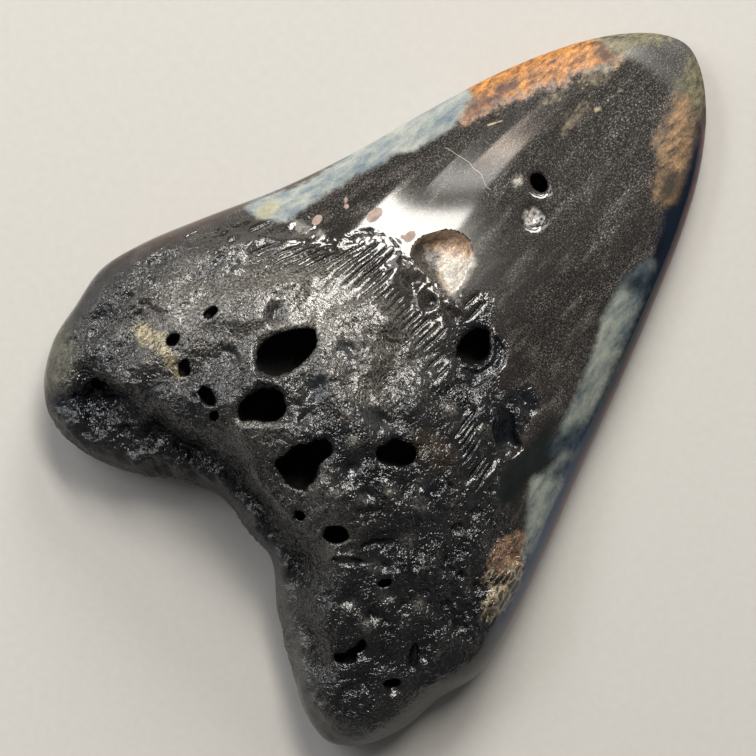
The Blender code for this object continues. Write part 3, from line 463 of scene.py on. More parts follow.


# ============================================================ the tooth: its stains
# Minerals from the sediment coloured it in patches; a few patches are painted light and shade
# instead: a shadowed valley on the long lobe, and the lit and shaded walls of the shell scoop.
# Each patch is a closed line in the tooth's own place; the mesh carries how far each vertex lies inside
# it.
STAINS = {   # name: closed lines; where a patch reaches the rim its line runs past the outline
    "blue": (((-23.5, 33), (-21.5, 31.8), (-20.8, 29.5), (-20.7, 25.5), (-21.4, 22.5),
              (-22.2, 19.5), (-23, 17.5), (-24.4, 15.8), (-24.7, 13.5), (-25.6, 11),
              (-26.8, 8.2), (-27.4, 5), (-28.3, 2.5), (-28.6, 0), (-29.1, -3), (-29.5, -5.2),
              (-31.2, -6.8), (-33.4, -8), (-36.3, -8.6), (-36.2, -7), (-35, -4),
              (-33.4, -1.2), (-32, 2), (-31.2, 5.5), (-30.4, 8.8), (-30.6, 11), (-34, 12),
              (-28, 32)),),
    "amber": (((-20.3, 27.8), (-19, 29.5), (-18.2, 32), (-17.4, 35), (-15.6, 38), (-14.6, 41),
               (-12.6, 44), (-11.6, 48), (-9.6, 50.5), (-8.2, 53), (-9, 55.3), (-12, 55.6),
               (-16, 56), (-26, 34), (-23.6, 32.6), (-21.6, 31.9), (-20.9, 29.6)),),
    "olive": (((-8.8, 53.5), (-7.8, 56.5), (-6.2, 59.5), (-4.6, 61.6), (-5, 66), (-14, 62),
               (-17, 54), (-13, 53.2)),
              ((0.5, 66), (0.3, 61.5), (1.5, 58.5), (3, 56), (5.5, 55), (8.5, 56),
               (12.5, 56.5), (12, 64), (4, 68))),
    "tan": (((2.8, 55.8), (4, 53), (4.8, 50), (6.2, 47.4), (8.2, 46.2), (9.8, 45.2),
             (10.6, 42.6), (12.2, 41.2), (14.6, 41.4), (14.9, 43.4), (13.8, 46.5), (12.9, 49.5),
             (11.6, 52.2), (9.6, 54.6), (7, 56.2), (4.6, 57)),),
    "navy": (((9.5, 55), (11.4, 52.6), (12.8, 49.6), (13.8, 46.6), (14.8, 43.6), (14.8, 41),
              (16.8, 38), (18, 35), (19.5, 33.2), (22.6, 33.6), (28, 36), (20, 54), (12, 60)),
             ((30.2, 12), (31.6, 7), (33, 2), (34.6, -2.5), (35.8, -6.5), (37.2, -10.5),
              (38.8, -14.5), (39.8, -18), (41.4, -22), (42.6, -26), (42.4, -30), (43.8, -34),
              (45.5, -37.5), (54, -36), (42, 4), (35, 14))),
    "pale": (((20.2, 34.2), (18.6, 31.5), (18.4, 28), (18.8, 24), (19.9, 20.5), (21.2, 18),
              (22.8, 15), (24.3, 11.5), (25.6, 8), (26.8, 4.5), (28, 1.6), (30, 0.2),
              (31, -2), (31.1, -5), (30.3, -8), (32, -10.6), (34.2, -13.2), (36.4, -15.6),
              (38.6, -18.6), (39.8, -18.6), (38.8, -14.5), (37.2, -10.5), (35.8, -6.5),
              (34.6, -2.5), (33, 2), (31.6, 7), (30.2, 12), (33, 16), (30, 26), (24, 33),
              (22, 34.6)),),
    "wine": (((-30.6, 12), (-30.2, 8.8), (-31.2, 5), (-32.4, 1), (-34.2, -2.6), (-36.4, -7),
              (-37.5, -10), (-39.6, -15), (-41.2, -19), (-43.0, -23.5), (-45.0, -27.5),
              (-48.0, -34.0), (-56, -36), (-44, -10), (-34, 12)),),
    "pink": (((34.1, -22.6), (33.1, -19.7), (33.9, -17.6), (35.1, -15.4), (37.3, -15.7),
              (39.0, -17.6), (39.6, -19.8), (38.4, -21.4), (37.2, -22.9), (35.7, -23.6)),),
    "gold": (((-35.9, -36.0), (-34.6, -34.4), (-32.5, -33.4), (-30.2, -33.6), (-28.6, -34.6),
              (-26.4, -35.1), (-24.6, -35.2), (-24.4, -36.4), (-27.0, -36.2), (-29.2, -35.9),
              (-31.4, -36.2), (-33.6, -36.8)),),
    "cream": (((-50, -43), (-42.5, -44), (-38, -46.5), (-36.5, -50), (-34.5, -53.5),
               (-34, -61), (-50, -61)),),
    # painted shade: a blue-black sheet along the shadowed valley of the long lobe
    "valley_shade": (((-38.4, -57.6), (-37.6, -53.2), (-33.6, -48.4), (-28.8, -45.1), (-26.9, -45.8),
                   (-29.2, -49.2), (-30.6, -52.4), (-34.6, -55.6)),),
    "smear": (oval(-6.7, 41.3, 0.7, 3.4), oval(-9.2, 49.0, 0.9, 3.4, -14),
              oval(-11.6, 41.5, 0.5, 2.6, -10)),
    "whitish": (oval(-27.0, -4.2, 1.7, 0.9, 10), oval(-24.0, -2.9, 0.9, 0.6)),
    "butter": (oval(-33.2, -6.0, 2.2, 1.1, 70),),
    "cells": (((34.5, -23.1), (36.9, -22.7), (37.7, -20.5), (38.9, -18.8), (40.5, -19.2),
               (42.3, -23.0), (43.0, -25.7), (42.2, -27.6), (41.9, -29.7), (40.4, -30.4),
               (38.8, -28.5), (37.7, -25.9), (35.2, -25.3)),),
    "rust": (oval(-10.6, 52.4, 1.7, 1.3), oval(-19.7, 32.4, 1.0, 3.4, -22),
             oval(-19.0, 36.6, 1.1, 2.0, -25)),
    "slate": (oval(21.0, 30.0, 2.3, 4.2, -25), oval(31.2, 2.6, 2.3, 5.2, -22),
              oval(33.5, -2.4, 1.6, 3.0, -22)),
    "shell": (PITS[0][0],),
    # the scoop's right wall: pale stone with a painted highlight where it faces the light
    "shell_white_and_lit": (((-7.0, 8.2), (-5.8, 9.6), (-4.4, 10.6), (-3.2, 11.6), (-2.2, 11.8), (-1.0, 7.8),
                     (-0.7, 4.8), (-2.5, 5.0), (-4.8, 6.1), (-6.5, 7.0)),),
    # the scoop's left wall: dark stain with painted shade where it turns from the light
    "shell_dark_and_shaded": (((-11.2, 6.2), (-10.9, 8.2), (-9.7, 7.6), (-8.8, 8.6), (-7.0, 8.4), (-6.5, 7.0),
                    (-4.9, 6.0), (-2.6, 4.8), (-0.8, 4.4), (-2.5, 2.8), (-6.1, 2.9), (-9.3, 0.7),
                    (-10.7, 2.9)),),
    "umber": (oval(14.5, -15.8, 4.2, 2.6), oval(-27.0, -30.0, 1.2, 0.8), oval(12.8, 44.4, 1.6, 2.4, 20)),
    "smooth": (((25.5, 2.0), (28.0, -1.0), (30.6, -4.0), (30.0, -8.5), (31.0, -13.0),
                (27.5, -14.5), (25.6, -9.0), (25.6, -4.0)),
               ((39.0, -38.0), (44.0, -36.0), (52.0, -42.0), (48.0, -62.0), (38.0, -66.0),
                (38.5, -56.0), (41.0, -50.0), (39.5, -44.0))),
    "frost": (oval(-0.4, 24.0, 1.3, 1.7, 15), oval(-6.2, 26.6, 0.7, 1.0)),
    "pebble": (oval(-19.6, 5.7, 0.9, 1.6, -5), oval(-12.8, 7.2, 0.7, 1.2),
               oval(-13.6, 6.3, 0.45, 0.4), oval(-25.0, 4.3, 0.5, 0.45),
               oval(-24.1, 3.5, 0.5, 0.5), oval(-26.0, -1.6, 0.7, 1.1)),
}
CRACK = ((-19.6, 21.6), (-19.0, 22.4), (-16.2, 22.9), (-14.2, 23.3), (-13.2, 23.0), (-11.8, 23.3),
         (-11.0, 23.0), (-9.4, 22.2), (-8.0, 22.6))
STREAKS = (   # pale marks in the enamel near the tip: two ends, half width
    ((-4.9, 47.3), (-4.3, 50.7), 0.15), ((-4.9, 45.3), (-5.2, 44.7), 0.34),
    ((-9.4, 45.6), (-9.1, 47.0), 0.14), ((-8.0, 51.6), (-7.6, 52.8), 0.16),
    ((-15.3, 32.5), (-16.5, 30.0), 0.15), ((-6.2, 27.5), (-6.9, 26.2), 0.2),
)

# ============================================================ the tooth: its mesh
# One closed skin: rings of points along the rim, a fine lattice inside it, the wells joined
# on at their rims, and a coarser lattice below.
ROOT_STEP, CROWN_STEP, UNDER_STEP, STRIA_STEP = 0.32, 0.6, 0.95, 0.22
STRIA_ZONE, SCOOP_ZONE, ROOT_OVERLAP = 0.95, 1.2, 2.0   # how far the finer lattices reach
RIM_RINGS = (0.1, 0.28, 0.55, 0.95, 1.45, 2.0)
UNDER_RINGS = (0.12, 0.4, 0.85, 1.5)
RING_GAP, PIT_GAP, HOLE_GAP = 0.2, 0.17, 0.16
WELL_STEP, WELL_SWELL, WELL_TAPER = 0.75, 0.08, 0.22


def inset(loop, amount):
    """The loop moved inward by an amount along its normals."""
    tangent = np.roll(loop, -1, axis=0) - np.roll(loop, 1, axis=0)
    tangent = tangent / np.linalg.norm(tangent, axis=1)[:, None]
    return loop + amount * np.column_stack((-tangent[:, 1], tangent[:, 0]))


def lattice(step, wanted):
    """Triangular lattice inside the outline, of the points that are wanted."""
    lo, hi = outline.min(axis=0), outline.max(axis=0)
    rows = np.arange(lo[1], hi[1], step * math.sqrt(0.75))
    x, y = np.meshgrid(np.arange(lo[0], hi[0], step), rows)
    x = x + (np.arange(len(rows)) % 2)[:, None] * step / 2
    p = np.column_stack((x.ravel(), y.ravel()))
    p = p[wanted(p)]
    return p[inside(p, inset(coarse_outline, RIM_RINGS[-1] + RING_GAP))]


def on_striae(p):
    return stria_reach(p) < STRIA_ZONE


def on_root(p):
    near_scoop = loop_distance(p, pits[0][0], SCOOP_ZONE) > -SCOOP_ZONE
    return (past_rough_line(p) > -ROOT_OVERLAP) | near_scoop


def triangles(points, loops):
    """Delaunay triangles of the points within loops[0] and outside the other loops."""
    edges = []
    for first, count in loops:
        edges += [(first + i, first + (i + 1) % count) for i in range(count)]
    flat = [Vector((x, y)) for x, y in points.tolist()]
    verts, _, faces, origin, _, _ = delaunay_2d_cdt(flat, edges, [], 0, 1e-7)
    first_of = np.array([own[0] for own in origin])
    faces = first_of[np.array(faces)]
    centres = points[faces].mean(axis=1)
    keep = inside(centres, points[loops[0][0]:loops[0][0] + loops[0][1]])
    for first, count in loops[1:]:
        keep &= loop_distance(centres, points[first:first + count], 0.01) <= 0.0
    return faces[keep]


loops = [(0, len(outline))]
fixed = [outline]
for rim, depth in holes:
    loops.append((sum(len(part) for part in fixed), len(rim)))
    fixed.append(rim)
free = [inset(outline, amount) for amount in RIM_RINGS]
free.append(lattice(STRIA_STEP, on_striae))
free.append(lattice(ROOT_STEP, lambda p: on_root(p) & ~on_striae(p)))
free.append(lattice(CROWN_STEP, lambda p: ~on_root(p) & ~on_striae(p)))
free = np.vstack(free)
for rim, depth, wall, tilt in pits:
    if crisp(depth, wall):
        free = free[np.abs(loop_distance(free, rim, PIT_GAP)) >= PIT_GAP]
        free = np.vstack((free, rim))
for rim, depth in holes:
    free = free[loop_distance(free, rim, HOLE_GAP) <= -HOLE_GAP]
top = np.vstack(fixed + [free])
top_d = smooth_distance(top, coarse_outline)
top_d[:len(outline)] = 0.0
top_z = top_height(top, top_d)
top_z[:len(outline)] = rim_height(outline[:, 1])

under = np.vstack([outline] + [inset(outline, amount) for amount in UNDER_RINGS] +
                  [lattice(UNDER_STEP, lambda p: np.ones(len(p), bool))])
under_d = smooth_distance(under, coarse_outline)
under_d[:len(outline)] = 0.0
under_z = under_height(under, under_d)

top_count, rim_count = len(top), len(outline)
verts = [np.column_stack((top, top_z)), np.column_stack((under, under_z))[rim_count:]]
faces = [triangles(top, loops)]
below = triangles(under, [(0, rim_count)])[:, ::-1]
faces.append(np.where(below < rim_count, below, below + top_count - rim_count))
total = top_count + len(under) - rim_count
deep = [np.zeros(total)]
for (first, count), (rim, depth) in zip(loops[1:], holes):
    centre = rim.mean(axis=0)
    z0 = top_z[first:first + count]
    upper = np.arange(first, first + count)
    levels = max(int(depth / WELL_STEP), 4)
    for level in range(1, levels + 1):
        part = level / (levels + 1)
        scale = 1.0 + WELL_SWELL * math.sin(math.pi * min(part * 1.6, 1.0))
        scale *= math.sqrt(max(1.0 - max(part - 0.55, 0.0) ** 2 / WELL_TAPER, 0.05))
        verts.append(np.column_stack((centre + (rim - centre) * scale,
                                      z0 * (1 - part) + z0.mean() * part - depth * part)))
        deep.append(np.full(count, part * depth))
        lower = np.arange(total, total + count)
        total += count
        faces.append(np.column_stack((upper, np.roll(upper, -1), lower)))
        faces.append(np.column_stack((np.roll(upper, -1), np.roll(lower, -1), lower)))
        upper = lower
    verts.append(np.array([[centre[0], centre[1], z0.mean() - depth]]))
    deep.append(np.array([depth]))
    faces.append(np.column_stack((upper, np.roll(upper, -1), np.full(count, total))))
    total += 1
verts = np.vstack(verts)
faces = np.vstack(faces)
deep = np.concatenate(deep)


def build_mesh(name, points, triangles_):
    mesh = bpy.data.meshes.new(name)
    mesh.vertices.add(len(points))
    mesh.vertices.foreach_set("co", points.astype(np.float32).ravel())
    mesh.loops.add(len(triangles_) * 3)
    mesh.loops.foreach_set("vertex_index", triangles_.astype(np.int32).ravel())
    mesh.polygons.add(len(triangles_))
    mesh.polygons.foreach_set("loop_start", np.arange(0, len(triangles_) * 3, 3, dtype=np.int32))
    mesh.polygons.foreach_set("use_smooth", np.ones(len(triangles_), bool))
    mesh.update(calc_edges=True)
    mesh.validate()
    return mesh


metres = np.column_stack((verts[:, :2] - middle, verts[:, 2])) * MM
mesh = build_mesh("tooth_skin", metres, faces)

# ============================================================ the tooth: what its skin carries
# Each vertex carries what the grain and the colours need to know about its place: how rough
# it is, how far it lies from the rim, the pits and the striae, and how far inside each stain.
FURROW_ENDS, FURROW_SHADE = (-41.0, -33.0, 18.0, 28.0), 1.9
NOTCH_EDGE_ENDS, NOTCH_EDGE_ROUGH = (-44.0, -36.0, 22.0, 30.0), 0.75
DUST_AND_SHEEN_PATCHES = (   # where pale dust and a painted sheen lie in the skin: middle, half widths, share
    (-17, -13, 11, 10, 1.0), (-31, -27, 8, 10, 0.7), (-9, -33, 5, 4, 0.5), (-3, -8, 8, 7, 0.5),
    (4, -34, 5, 4, 0.4), (12.8, -37.1, 3.6, 3.2, 0.5), (0.5, -16.5, 4.5, 3, 0.5),
)
KNOB_DUST_AND_SHEEN, SILVER_CALM, PIT_CALM, STRIA_CALM = 0.75, 0.5, 0.7, 0.88
FAR = 9.0              # stands for any distance too great to matter
STAIN_REACH, STAIN_STEP = 3.0, 0.5
WRAP_ROUND = {"amber", "olive", "tan", "blue", "pale", "navy", "wine", "slate", "cream"}
CRACK_BOX = ((-22.0, 19.5), (-6.0, 25.5))
CRACK_ENDS = (-19.4, -8.2)


def reach_inside(p, lines, reach):
    """How far each point lies inside the nearest of the closed lines, in millimetres."""
    best = np.full(len(p), -float(reach))
    for points in lines:
        best = np.maximum(best, loop_distance(p, curve(points, True, STAIN_STEP), reach))
    return np.minimum(best, reach)


place = verts[:, :2]
under_end = top_count + len(under) - rim_count
is_under = np.zeros(total, bool)
is_under[top_count:under_end] = True
from_rim = np.full(total, FAR)
from_rim[:top_count] = top_d
from_rim[top_count:under_end] = under_d[rim_count:]

# how strongly painted shade darkens the furrow at the foot of the notch's wall
in_furrow = np.zeros(total)
in_furrow[:top_count] = (between_ends(top[:, 0], FURROW_ENDS) * furrow_share(top) *
                         np.exp(-((above_foot(top) - 0.6) / FURROW_SHADE) ** 2) *
                         step_up(0.8, 3.0, top_d))
dust_and_sheen = np.zeros(total)
dust_and_sheen[:top_count] = np.clip(sum(share * bump(top, x, y, rx, ry)
                                   for x, y, rx, ry, share in DUST_AND_SHEEN_PATCHES), 0.0, 1.0)
# each knob also gets pale dust and a painted highlight
for at_x, at_y, radius in KNOBS:
    knob = KNOB_DUST_AND_SHEEN * bump(top, at_x, at_y, radius, radius)
    dust_and_sheen[:top_count] = np.maximum(dust_and_sheen[:top_count], knob)
in_pit = np.full(total, -2.0)
for rim, depth, wall, tilt in pits:
    in_pit = np.maximum(in_pit, loop_distance(place, rim, 2.0))
in_pit[is_under] = -2.0
off_stria = stria_reach(place)
notched = step_up(-38.0, -43.0, place[:, 1]) * (1.0 - step_up(0.6, 2.2, from_rim))
notched = notched * between_ends(place[:, 0], NOTCH_EDGE_ENDS)

moved = place + np.where(is_under, 3.0, 0.0)[:, None] * (0.0, 1.0)
skin = np.maximum(np.where(deep > 0.0, 1.0, rough_skin(moved, from_rim)), notched)
relief = np.where(is_under & (verts[:, 2] < 0.4), 0.0,
                  np.maximum(skin - notched, NOTCH_EDGE_ROUGH * notched))
relief = relief * (1.0 - STRIA_CALM + STRIA_CALM * step_up(0.8, 2.4, off_stria))
relief = relief * np.clip(0.75 + 0.8 * lump(place, 9.0, 6.1), 0.25, 1.6)
relief = relief * (1.0 - PIT_CALM * step_up(-0.6, 0.8, in_pit)) * (1.0 - SILVER_CALM * dust_and_sheen)
polished = 1.0 - step_up(-0.8, 0.4, np.maximum(reach_inside(place, STAINS["navy"], 1.0), -1.0))
relief = relief * polished
left_side = 1.0 - step_up(0.0, 6.0, place[:, 0])
worn = step_up(2.0, 10.0, past_rough_line(place) + 2.6 * lump(place, 2.6, 7.7)) * left_side
worn = worn + (1.0 - left_side)
skin = skin * polished * np.maximum(worn, 0.8 * np.exp(-(off_stria / 0.30) ** 2))

off_crack = np.full(total, FAR)
crack = np.array(CRACK)
boxed = (place > CRACK_BOX[0]) & (place < CRACK_BOX[1])
near = np.where(boxed.all(axis=1) & ~is_under)[0]
off_crack[near] = place[near, 1] - np.interp(place[near, 0], crack[:, 0], crack[:, 1])
off_crack[(place[:, 0] < CRACK_ENDS[0]) | (place[:, 0] > CRACK_ENDS[1])] = FAR
off_streak = np.full(total, FAR)
for a, b, half in STREAKS:
    near = np.where((np.abs(place - (np.array(a) + b) / 2) < (4.0, 7.0)).all(axis=1))[0]
    away = segment_distance(place[near], np.array([a]), np.array([b]))[:, 0] / half
    off_streak[near] = np.minimum(off_streak[near], away)

carried = {
    "skin": skin, "relief": relief, "in_pit": in_pit, "deep": deep, "dust_and_sheen": dust_and_sheen,
    "in_furrow": in_furrow, "from_rim": from_rim, "notched": notched, "off_crack": off_crack,
    "off_stria": np.where(is_under, FAR, off_stria),
    "off_streak": np.where(is_under, FAR, off_streak),
}
lapped_reach = 2.2 + 1.8 * lump(place, 6.0, 2.9) - from_rim   # stains run a shorter way in below
for name, lines in STAINS.items():
    reached = reach_inside(place, lines, STAIN_REACH)
    shorter = np.minimum(reached, lapped_reach) if name in WRAP_ROUND else -STAIN_REACH
    carried[name] = np.where(is_under, shorter, reached)
for name, values in carried.items():
    made = mesh.attributes.new(name, "FLOAT", "POINT")
    made.data.foreach_set("value", values.astype(np.float32))

# ============================================================ the tooth: its grain
# Geometry Nodes roughen the root: scattered pores, wrinkles a few millimetres apart and
# domes of grain about a millimetre across, none of them on the ground and polished parts.


def node(tree, kind, settings, inputs, out=0):
    """Adds a node, sets it, links or fills its inputs, and returns one of its outputs."""
    made = tree.nodes.new(kind)
    for name, value in settings.items():
        setattr(made, name, value)
    for key, value in inputs.items():
        if isinstance(value, bpy.types.NodeSocket):
            tree.links.new(value, made.inputs[key])
        else:
            made.inputs[key].default_value = value
    return made.outputs[out]


MATH, VECTOR, RANGE = "ShaderNodeMath", "ShaderNodeVectorMath", "ShaderNodeMapRange"
NOISE, CELLS, MIX = "ShaderNodeTexNoise", "ShaderNodeTexVoronoi", "ShaderNodeMix"
PLUS, MINUS, TIMES, OVER, TIMES_PLUS, SIZE_OF, LARGER, SCALED = (
    {"operation": word} for word in
    ("ADD", "SUBTRACT", "MULTIPLY", "DIVIDE", "MULTIPLY_ADD", "ABSOLUTE", "MAXIMUM", "SCALE"))
SMOOTH, RGBA, NUMBER = {"interpolation_type": "SMOOTHSTEP"}, {"data_type": "RGBA"}, {"data_type": "FLOAT"}
GRAIN_SIZES = {   # named input: value in millimetres
    "Pore spacing": 4.2, "Pore radius": 1.35, "Pit spacing": 1.5, "Pit radius": 0.5,
    "Pore depth": 0.36, "Wrinkle size": 3.0, "Wrinkle height": 0.32, "Crease size": 1.6,
    "Crease height": 0.15, "Grain size": 1.0, "Grain height": 0.12,
}
GRAIN_SEED = 23
SMALLEST_PORE = 0.35                          # share of the largest
LIP_AT, LIP_HALF, LIP_HEIGHT = 1.2, 0.22, 0.12   # a pore's raised lip, in shares of its radius
NOISE_MIDDLE, NOISE_SPREAD = 0.5, 4.0         # a noise keeps near its middle; this evens it out
DOME_MIDDLE, DOME_SPREAD = 0.45, 2.0

grain = bpy.data.node_groups.new("grain_of_root", "GeometryNodeTree")
grain.interface.new_socket("Geometry", in_out="INPUT", socket_type="NodeSocketGeometry")
for label in GRAIN_SIZES:
    grain.interface.new_socket(label, in_out="INPUT", socket_type="NodeSocketFloat")
grain.interface.new_socket("Seed", in_out="INPUT", socket_type="NodeSocketInt")
grain.interface.new_socket("Finish", in_out="INPUT", socket_type="NodeSocketMaterial")
grain.interface.new_socket("Geometry", in_out="OUTPUT", socket_type="NodeSocketGeometry")
given = grain.nodes.new("NodeGroupInput").outputs
relief = node(grain, "GeometryNodeInputNamedAttribute", NUMBER, {"Name": "relief"})
where = node(grain, "GeometryNodeInputPosition", {}, {})
in_mm = node(grain, VECTOR, SCALED, {0: where, "Scale": 1.0 / MM})

height = None
for spacing, radius, seed in (("Pore spacing", "Pore radius", 0), ("Pit spacing", "Pit radius", 5)):
    gap = node(grain, MATH, TIMES, {0: given[spacing], 1: MM})
    own_seed = node(grain, MATH, PLUS, {0: given["Seed"], 1: float(seed)})
    spots = node(grain, "GeometryNodeDistributePointsOnFaces", {"distribute_method": "POISSON"},
                 {"Mesh": given["Geometry"], "Distance Min": gap, "Density Max": 900000.0,
                  "Density Factor": relief, "Seed": own_seed})
    smallest = node(grain, MATH, TIMES, {0: given[radius], 1: SMALLEST_PORE})
    size = node(grain, "FunctionNodeRandomValue", NUMBER,
                {2: smallest, 3: given[radius], "Seed": own_seed}, 1)
    spots = node(grain, "GeometryNodeStoreNamedAttribute", {"data_type": "FLOAT", "domain": "POINT"},
                 {"Geometry": spots, "Name": "size", "Value": size})
    nearest = node(grain, "GeometryNodeSampleNearest", {"domain": "POINT"}, {"Geometry": spots})
    spot_at = node(grain, "GeometryNodeSampleIndex", {"data_type": "FLOAT_VECTOR", "domain": "POINT"},
                   {"Geometry": spots, "Value": where, "Index": nearest})
    own_size = node(grain, "GeometryNodeInputNamedAttribute", NUMBER, {"Name": "size"})
    spot_size = node(grain, "GeometryNodeSampleIndex", {"data_type": "FLOAT", "domain": "POINT"},
                     {"Geometry": spots, "Value": own_size, "Index": nearest})
    away = node(grain, VECTOR, {"operation": "DISTANCE"}, {0: where, 1: spot_at}, 1)
    away = node(grain, MATH, TIMES, {0: away, 1: 1.0 / MM})
    away = node(grain, MATH, OVER, {0: away, 1: spot_size})
    bowl = node(grain, RANGE, SMOOTH,
                {"Value": away, "From Min": 1.1, "From Max": 0.25, "To Min": 0.0, "To Max": -1.0})
    lip = node(grain, MATH, {"operation": "COMPARE"}, {0: away, 1: LIP_AT, 2: LIP_HALF})
    bowl = node(grain, MATH, TIMES_PLUS, {0: lip, 1: LIP_HEIGHT, 2: bowl})
    bowl = node(grain, MATH, TIMES, {0: bowl, 1: spot_size})
    bowl = node(grain, MATH, TIMES, {0: bowl, 1: given["Pore depth"]})
    if height is not None:
        bowl = node(grain, MATH, PLUS, {0: bowl, 1: height})
    height = bowl

wrinkle_scale = node(grain, MATH, OVER, {0: 1.0, 1: given["Wrinkle size"]})
wrinkle = node(grain, NOISE, {}, {"Vector": in_mm, "Scale": wrinkle_scale, "Detail": 2.0})
wrinkle = node(grain, MATH, MINUS, {0: wrinkle, 1: NOISE_MIDDLE})
wrinkle = node(grain, MATH, TIMES, {0: wrinkle, 1: NOISE_SPREAD})
height = node(grain, MATH, TIMES_PLUS, {0: wrinkle, 1: given["Wrinkle height"], 2: height})

crease_scale = node(grain, MATH, OVER, {0: 1.0, 1: given["Crease size"]})
crease = node(grain, NOISE, {}, {"Vector": in_mm, "Scale": crease_scale, "Detail": 1.0})
crease = node(grain, MATH, MINUS, {0: crease, 1: NOISE_MIDDLE})
crease = node(grain, MATH, SIZE_OF, {0: crease})
crease = node(grain, RANGE, SMOOTH,
              {"Value": crease, "From Min": 0.0, "From Max": 0.16, "To Min": -1.0, "To Max": 0.3})
height = node(grain, MATH, TIMES_PLUS, {0: crease, 1: given["Crease height"], 2: height})

dome_scale = node(grain, MATH, OVER, {0: 1.0, 1: given["Grain size"]})
domes = node(grain, CELLS, {"feature": "SMOOTH_F1"},
             {"Vector": in_mm, "Scale": dome_scale, "Smoothness": 0.35})
domes = node(grain, MATH, MINUS, {0: DOME_MIDDLE, 1: domes})
domes = node(grain, MATH, TIMES, {0: domes, 1: DOME_SPREAD})
height = node(grain, MATH, TIMES_PLUS, {0: domes, 1: given["Grain height"], 2: height})

height = node(grain, MATH, TIMES, {0: height, 1: relief})
height = node(grain, MATH, TIMES, {0: height, 1: MM})
outward = node(grain, "GeometryNodeInputNormal", {}, {})
push = node(grain, VECTOR, SCALED, {0: outward, "Scale": height})
shaped = node(grain, "GeometryNodeSetPosition", {}, {"Geometry": given["Geometry"], "Offset": push})
shaped = node(grain, "GeometryNodeRealizeInstances", {}, {"Geometry": shaped})
shaped = node(grain, "GeometryNodeSetMaterial", {}, {"Geometry": shaped, "Material": given["Finish"]})
node_out = grain.nodes.new("NodeGroupOutput")
grain.links.new(shaped, node_out.inputs["Geometry"])

# ============================================================ the tooth: its finish
# Enamel and dentine turned to stone and taken to a mirror on the wheels: grey-brown and
# finely flecked on the crown, near black and still rough on the root.


def colour(code):
    """An sRGB hex colour turned to linear."""
    parts = [int(code[i:i + 2], 16) / 255.0 for i in (1, 3, 5)]
    return tuple(v / 12.92 if v <= 0.04045 else ((v + 0.055) / 1.055) ** 2.4 for v in parts) + (1.0,)


# Stone-hard enamel, polished: dark and deep, with a thin clear gloss over a flecked body.
finish = bpy.data.materials.new("polished_fossil_enamel")
finish.use_nodes = True
tree = finish.node_tree
tree.nodes.clear()
at = node(tree, "ShaderNodeTexCoord", {}, {}, 3)
# patterns in millimetres; the same drawn out along the tooth; far drawn out; and the flecks
mm_at, long_at, lines_at, fleck_at = (
    node(tree, "ShaderNodeMapping", {}, {"Vector": at, "Scale": scale}) for scale in
    ((1000.0, 1000.0, 1000.0), (1000.0, 380.0, 1000.0), (1000.0, 60.0, 1000.0), (5600.0, 2600.0, 5600.0)))
across = node(tree, "ShaderNodeSeparateXYZ", {}, {0: mm_at})
along = across.node.outputs[1]
read = {name: node(tree, "ShaderNodeAttribute", {"attribute_name": name}, {}, 2)
        for name in carried if name != "relief"}

# --- crown body: slow clouds of brown and grey, growth lines along it, then fine flecks
ON_LINES, OFF_LINES = 1.6, 0.62    # how thick the flecks lie on and off a growth line
FLECK_FALL = 1.6                   # how steeply a fleck fades from its middle
clouds = node(tree, NOISE, {}, {"Vector": long_at, "Scale": 0.09, "Detail": 3.0})
clouds = node(tree, RANGE, {}, {"Value": clouds, "From Min": 0.35, "From Max": 0.65})
crown = node(tree, MIX, RGBA, {0: clouds, 6: colour("#151210"), 7: colour("#211e1c")}, 2)
to_tip = node(tree, RANGE, {}, {"Value": along, "From Min": 12.0, "From Max": 50.0})
crown = node(tree, MIX, RGBA, {0: to_tip, 6: crown, 7: colour("#242220")}, 2)
lines = node(tree, NOISE, {}, {"Vector": lines_at, "Scale": 0.7, "Detail": 2.0})
lines = node(tree, RANGE, {}, {"Value": lines, "From Min": 0.5, "From Max": 0.72, "To Max": 0.5})
crown = node(tree, MIX, RGBA, {0: lines, 6: crown, 7: colour("#3b3733")}, 2)
speck = node(tree, NOISE, {}, {"Vector": fleck_at, "Scale": 1.0, "Detail": 3.0, "Roughness": 0.8})
thick = node(tree, NOISE, {}, {"Vector": long_at, "Scale": 0.2, "Detail": 4.0})
thick = node(tree, RANGE, {},
             {"Value": thick, "From Min": 0.35, "From Max": 0.65, "To Min": 0.06, "To Max": 0.55})
tip_thick = node(tree, RANGE, {}, {"Value": along, "From Min": 5.0, "From Max": 50.0, "To Max": 0.4})
thick = node(tree, MATH, PLUS, {0: thick, 1: tip_thick})
lined = node(tree, MATH, TIMES_PLUS, {0: lines, 1: ON_LINES, 2: OFF_LINES})
thick = node(tree, MATH, TIMES, {0: thick, 1: lined})
flecks = node(tree, RANGE, {}, {"Value": speck, "From Min": 0.49, "From Max": 0.72})
flecks = node(tree, MATH, {"operation": "POWER"}, {0: flecks, 1: FLECK_FALL})
flecks = node(tree, MATH, TIMES, {0: flecks, 1: thick})
grainy = node(tree, RANGE, {},
              {"Value": speck, "From Min": 0.3, "From Max": 0.6, "To Min": 0.62, "To Max": 1.3})
crown = node(tree, VECTOR, SCALED, {0: crown, "Scale": grainy})
crown = node(tree, MIX, RGBA, {0: flecks, 6: crown, 7: colour("#c4beb6")}, 2)

# --- root body: black glaze over brown, with pale dust and a painted sheen in places, and a painted blue-grey reflection in the pits
blotch = node(tree, NOISE, {}, {"Vector": mm_at, "Scale": 0.14, "Detail": 4.0, "Roughness": 0.6})
blotch = node(tree, RANGE, {}, {"Value": blotch, "From Min": 0.36, "From Max": 0.66})
root_tone = node(tree, MIX, RGBA, {0: blotch, 6: colour("#090b0e"), 7: colour("#1b1a1a")}, 2)
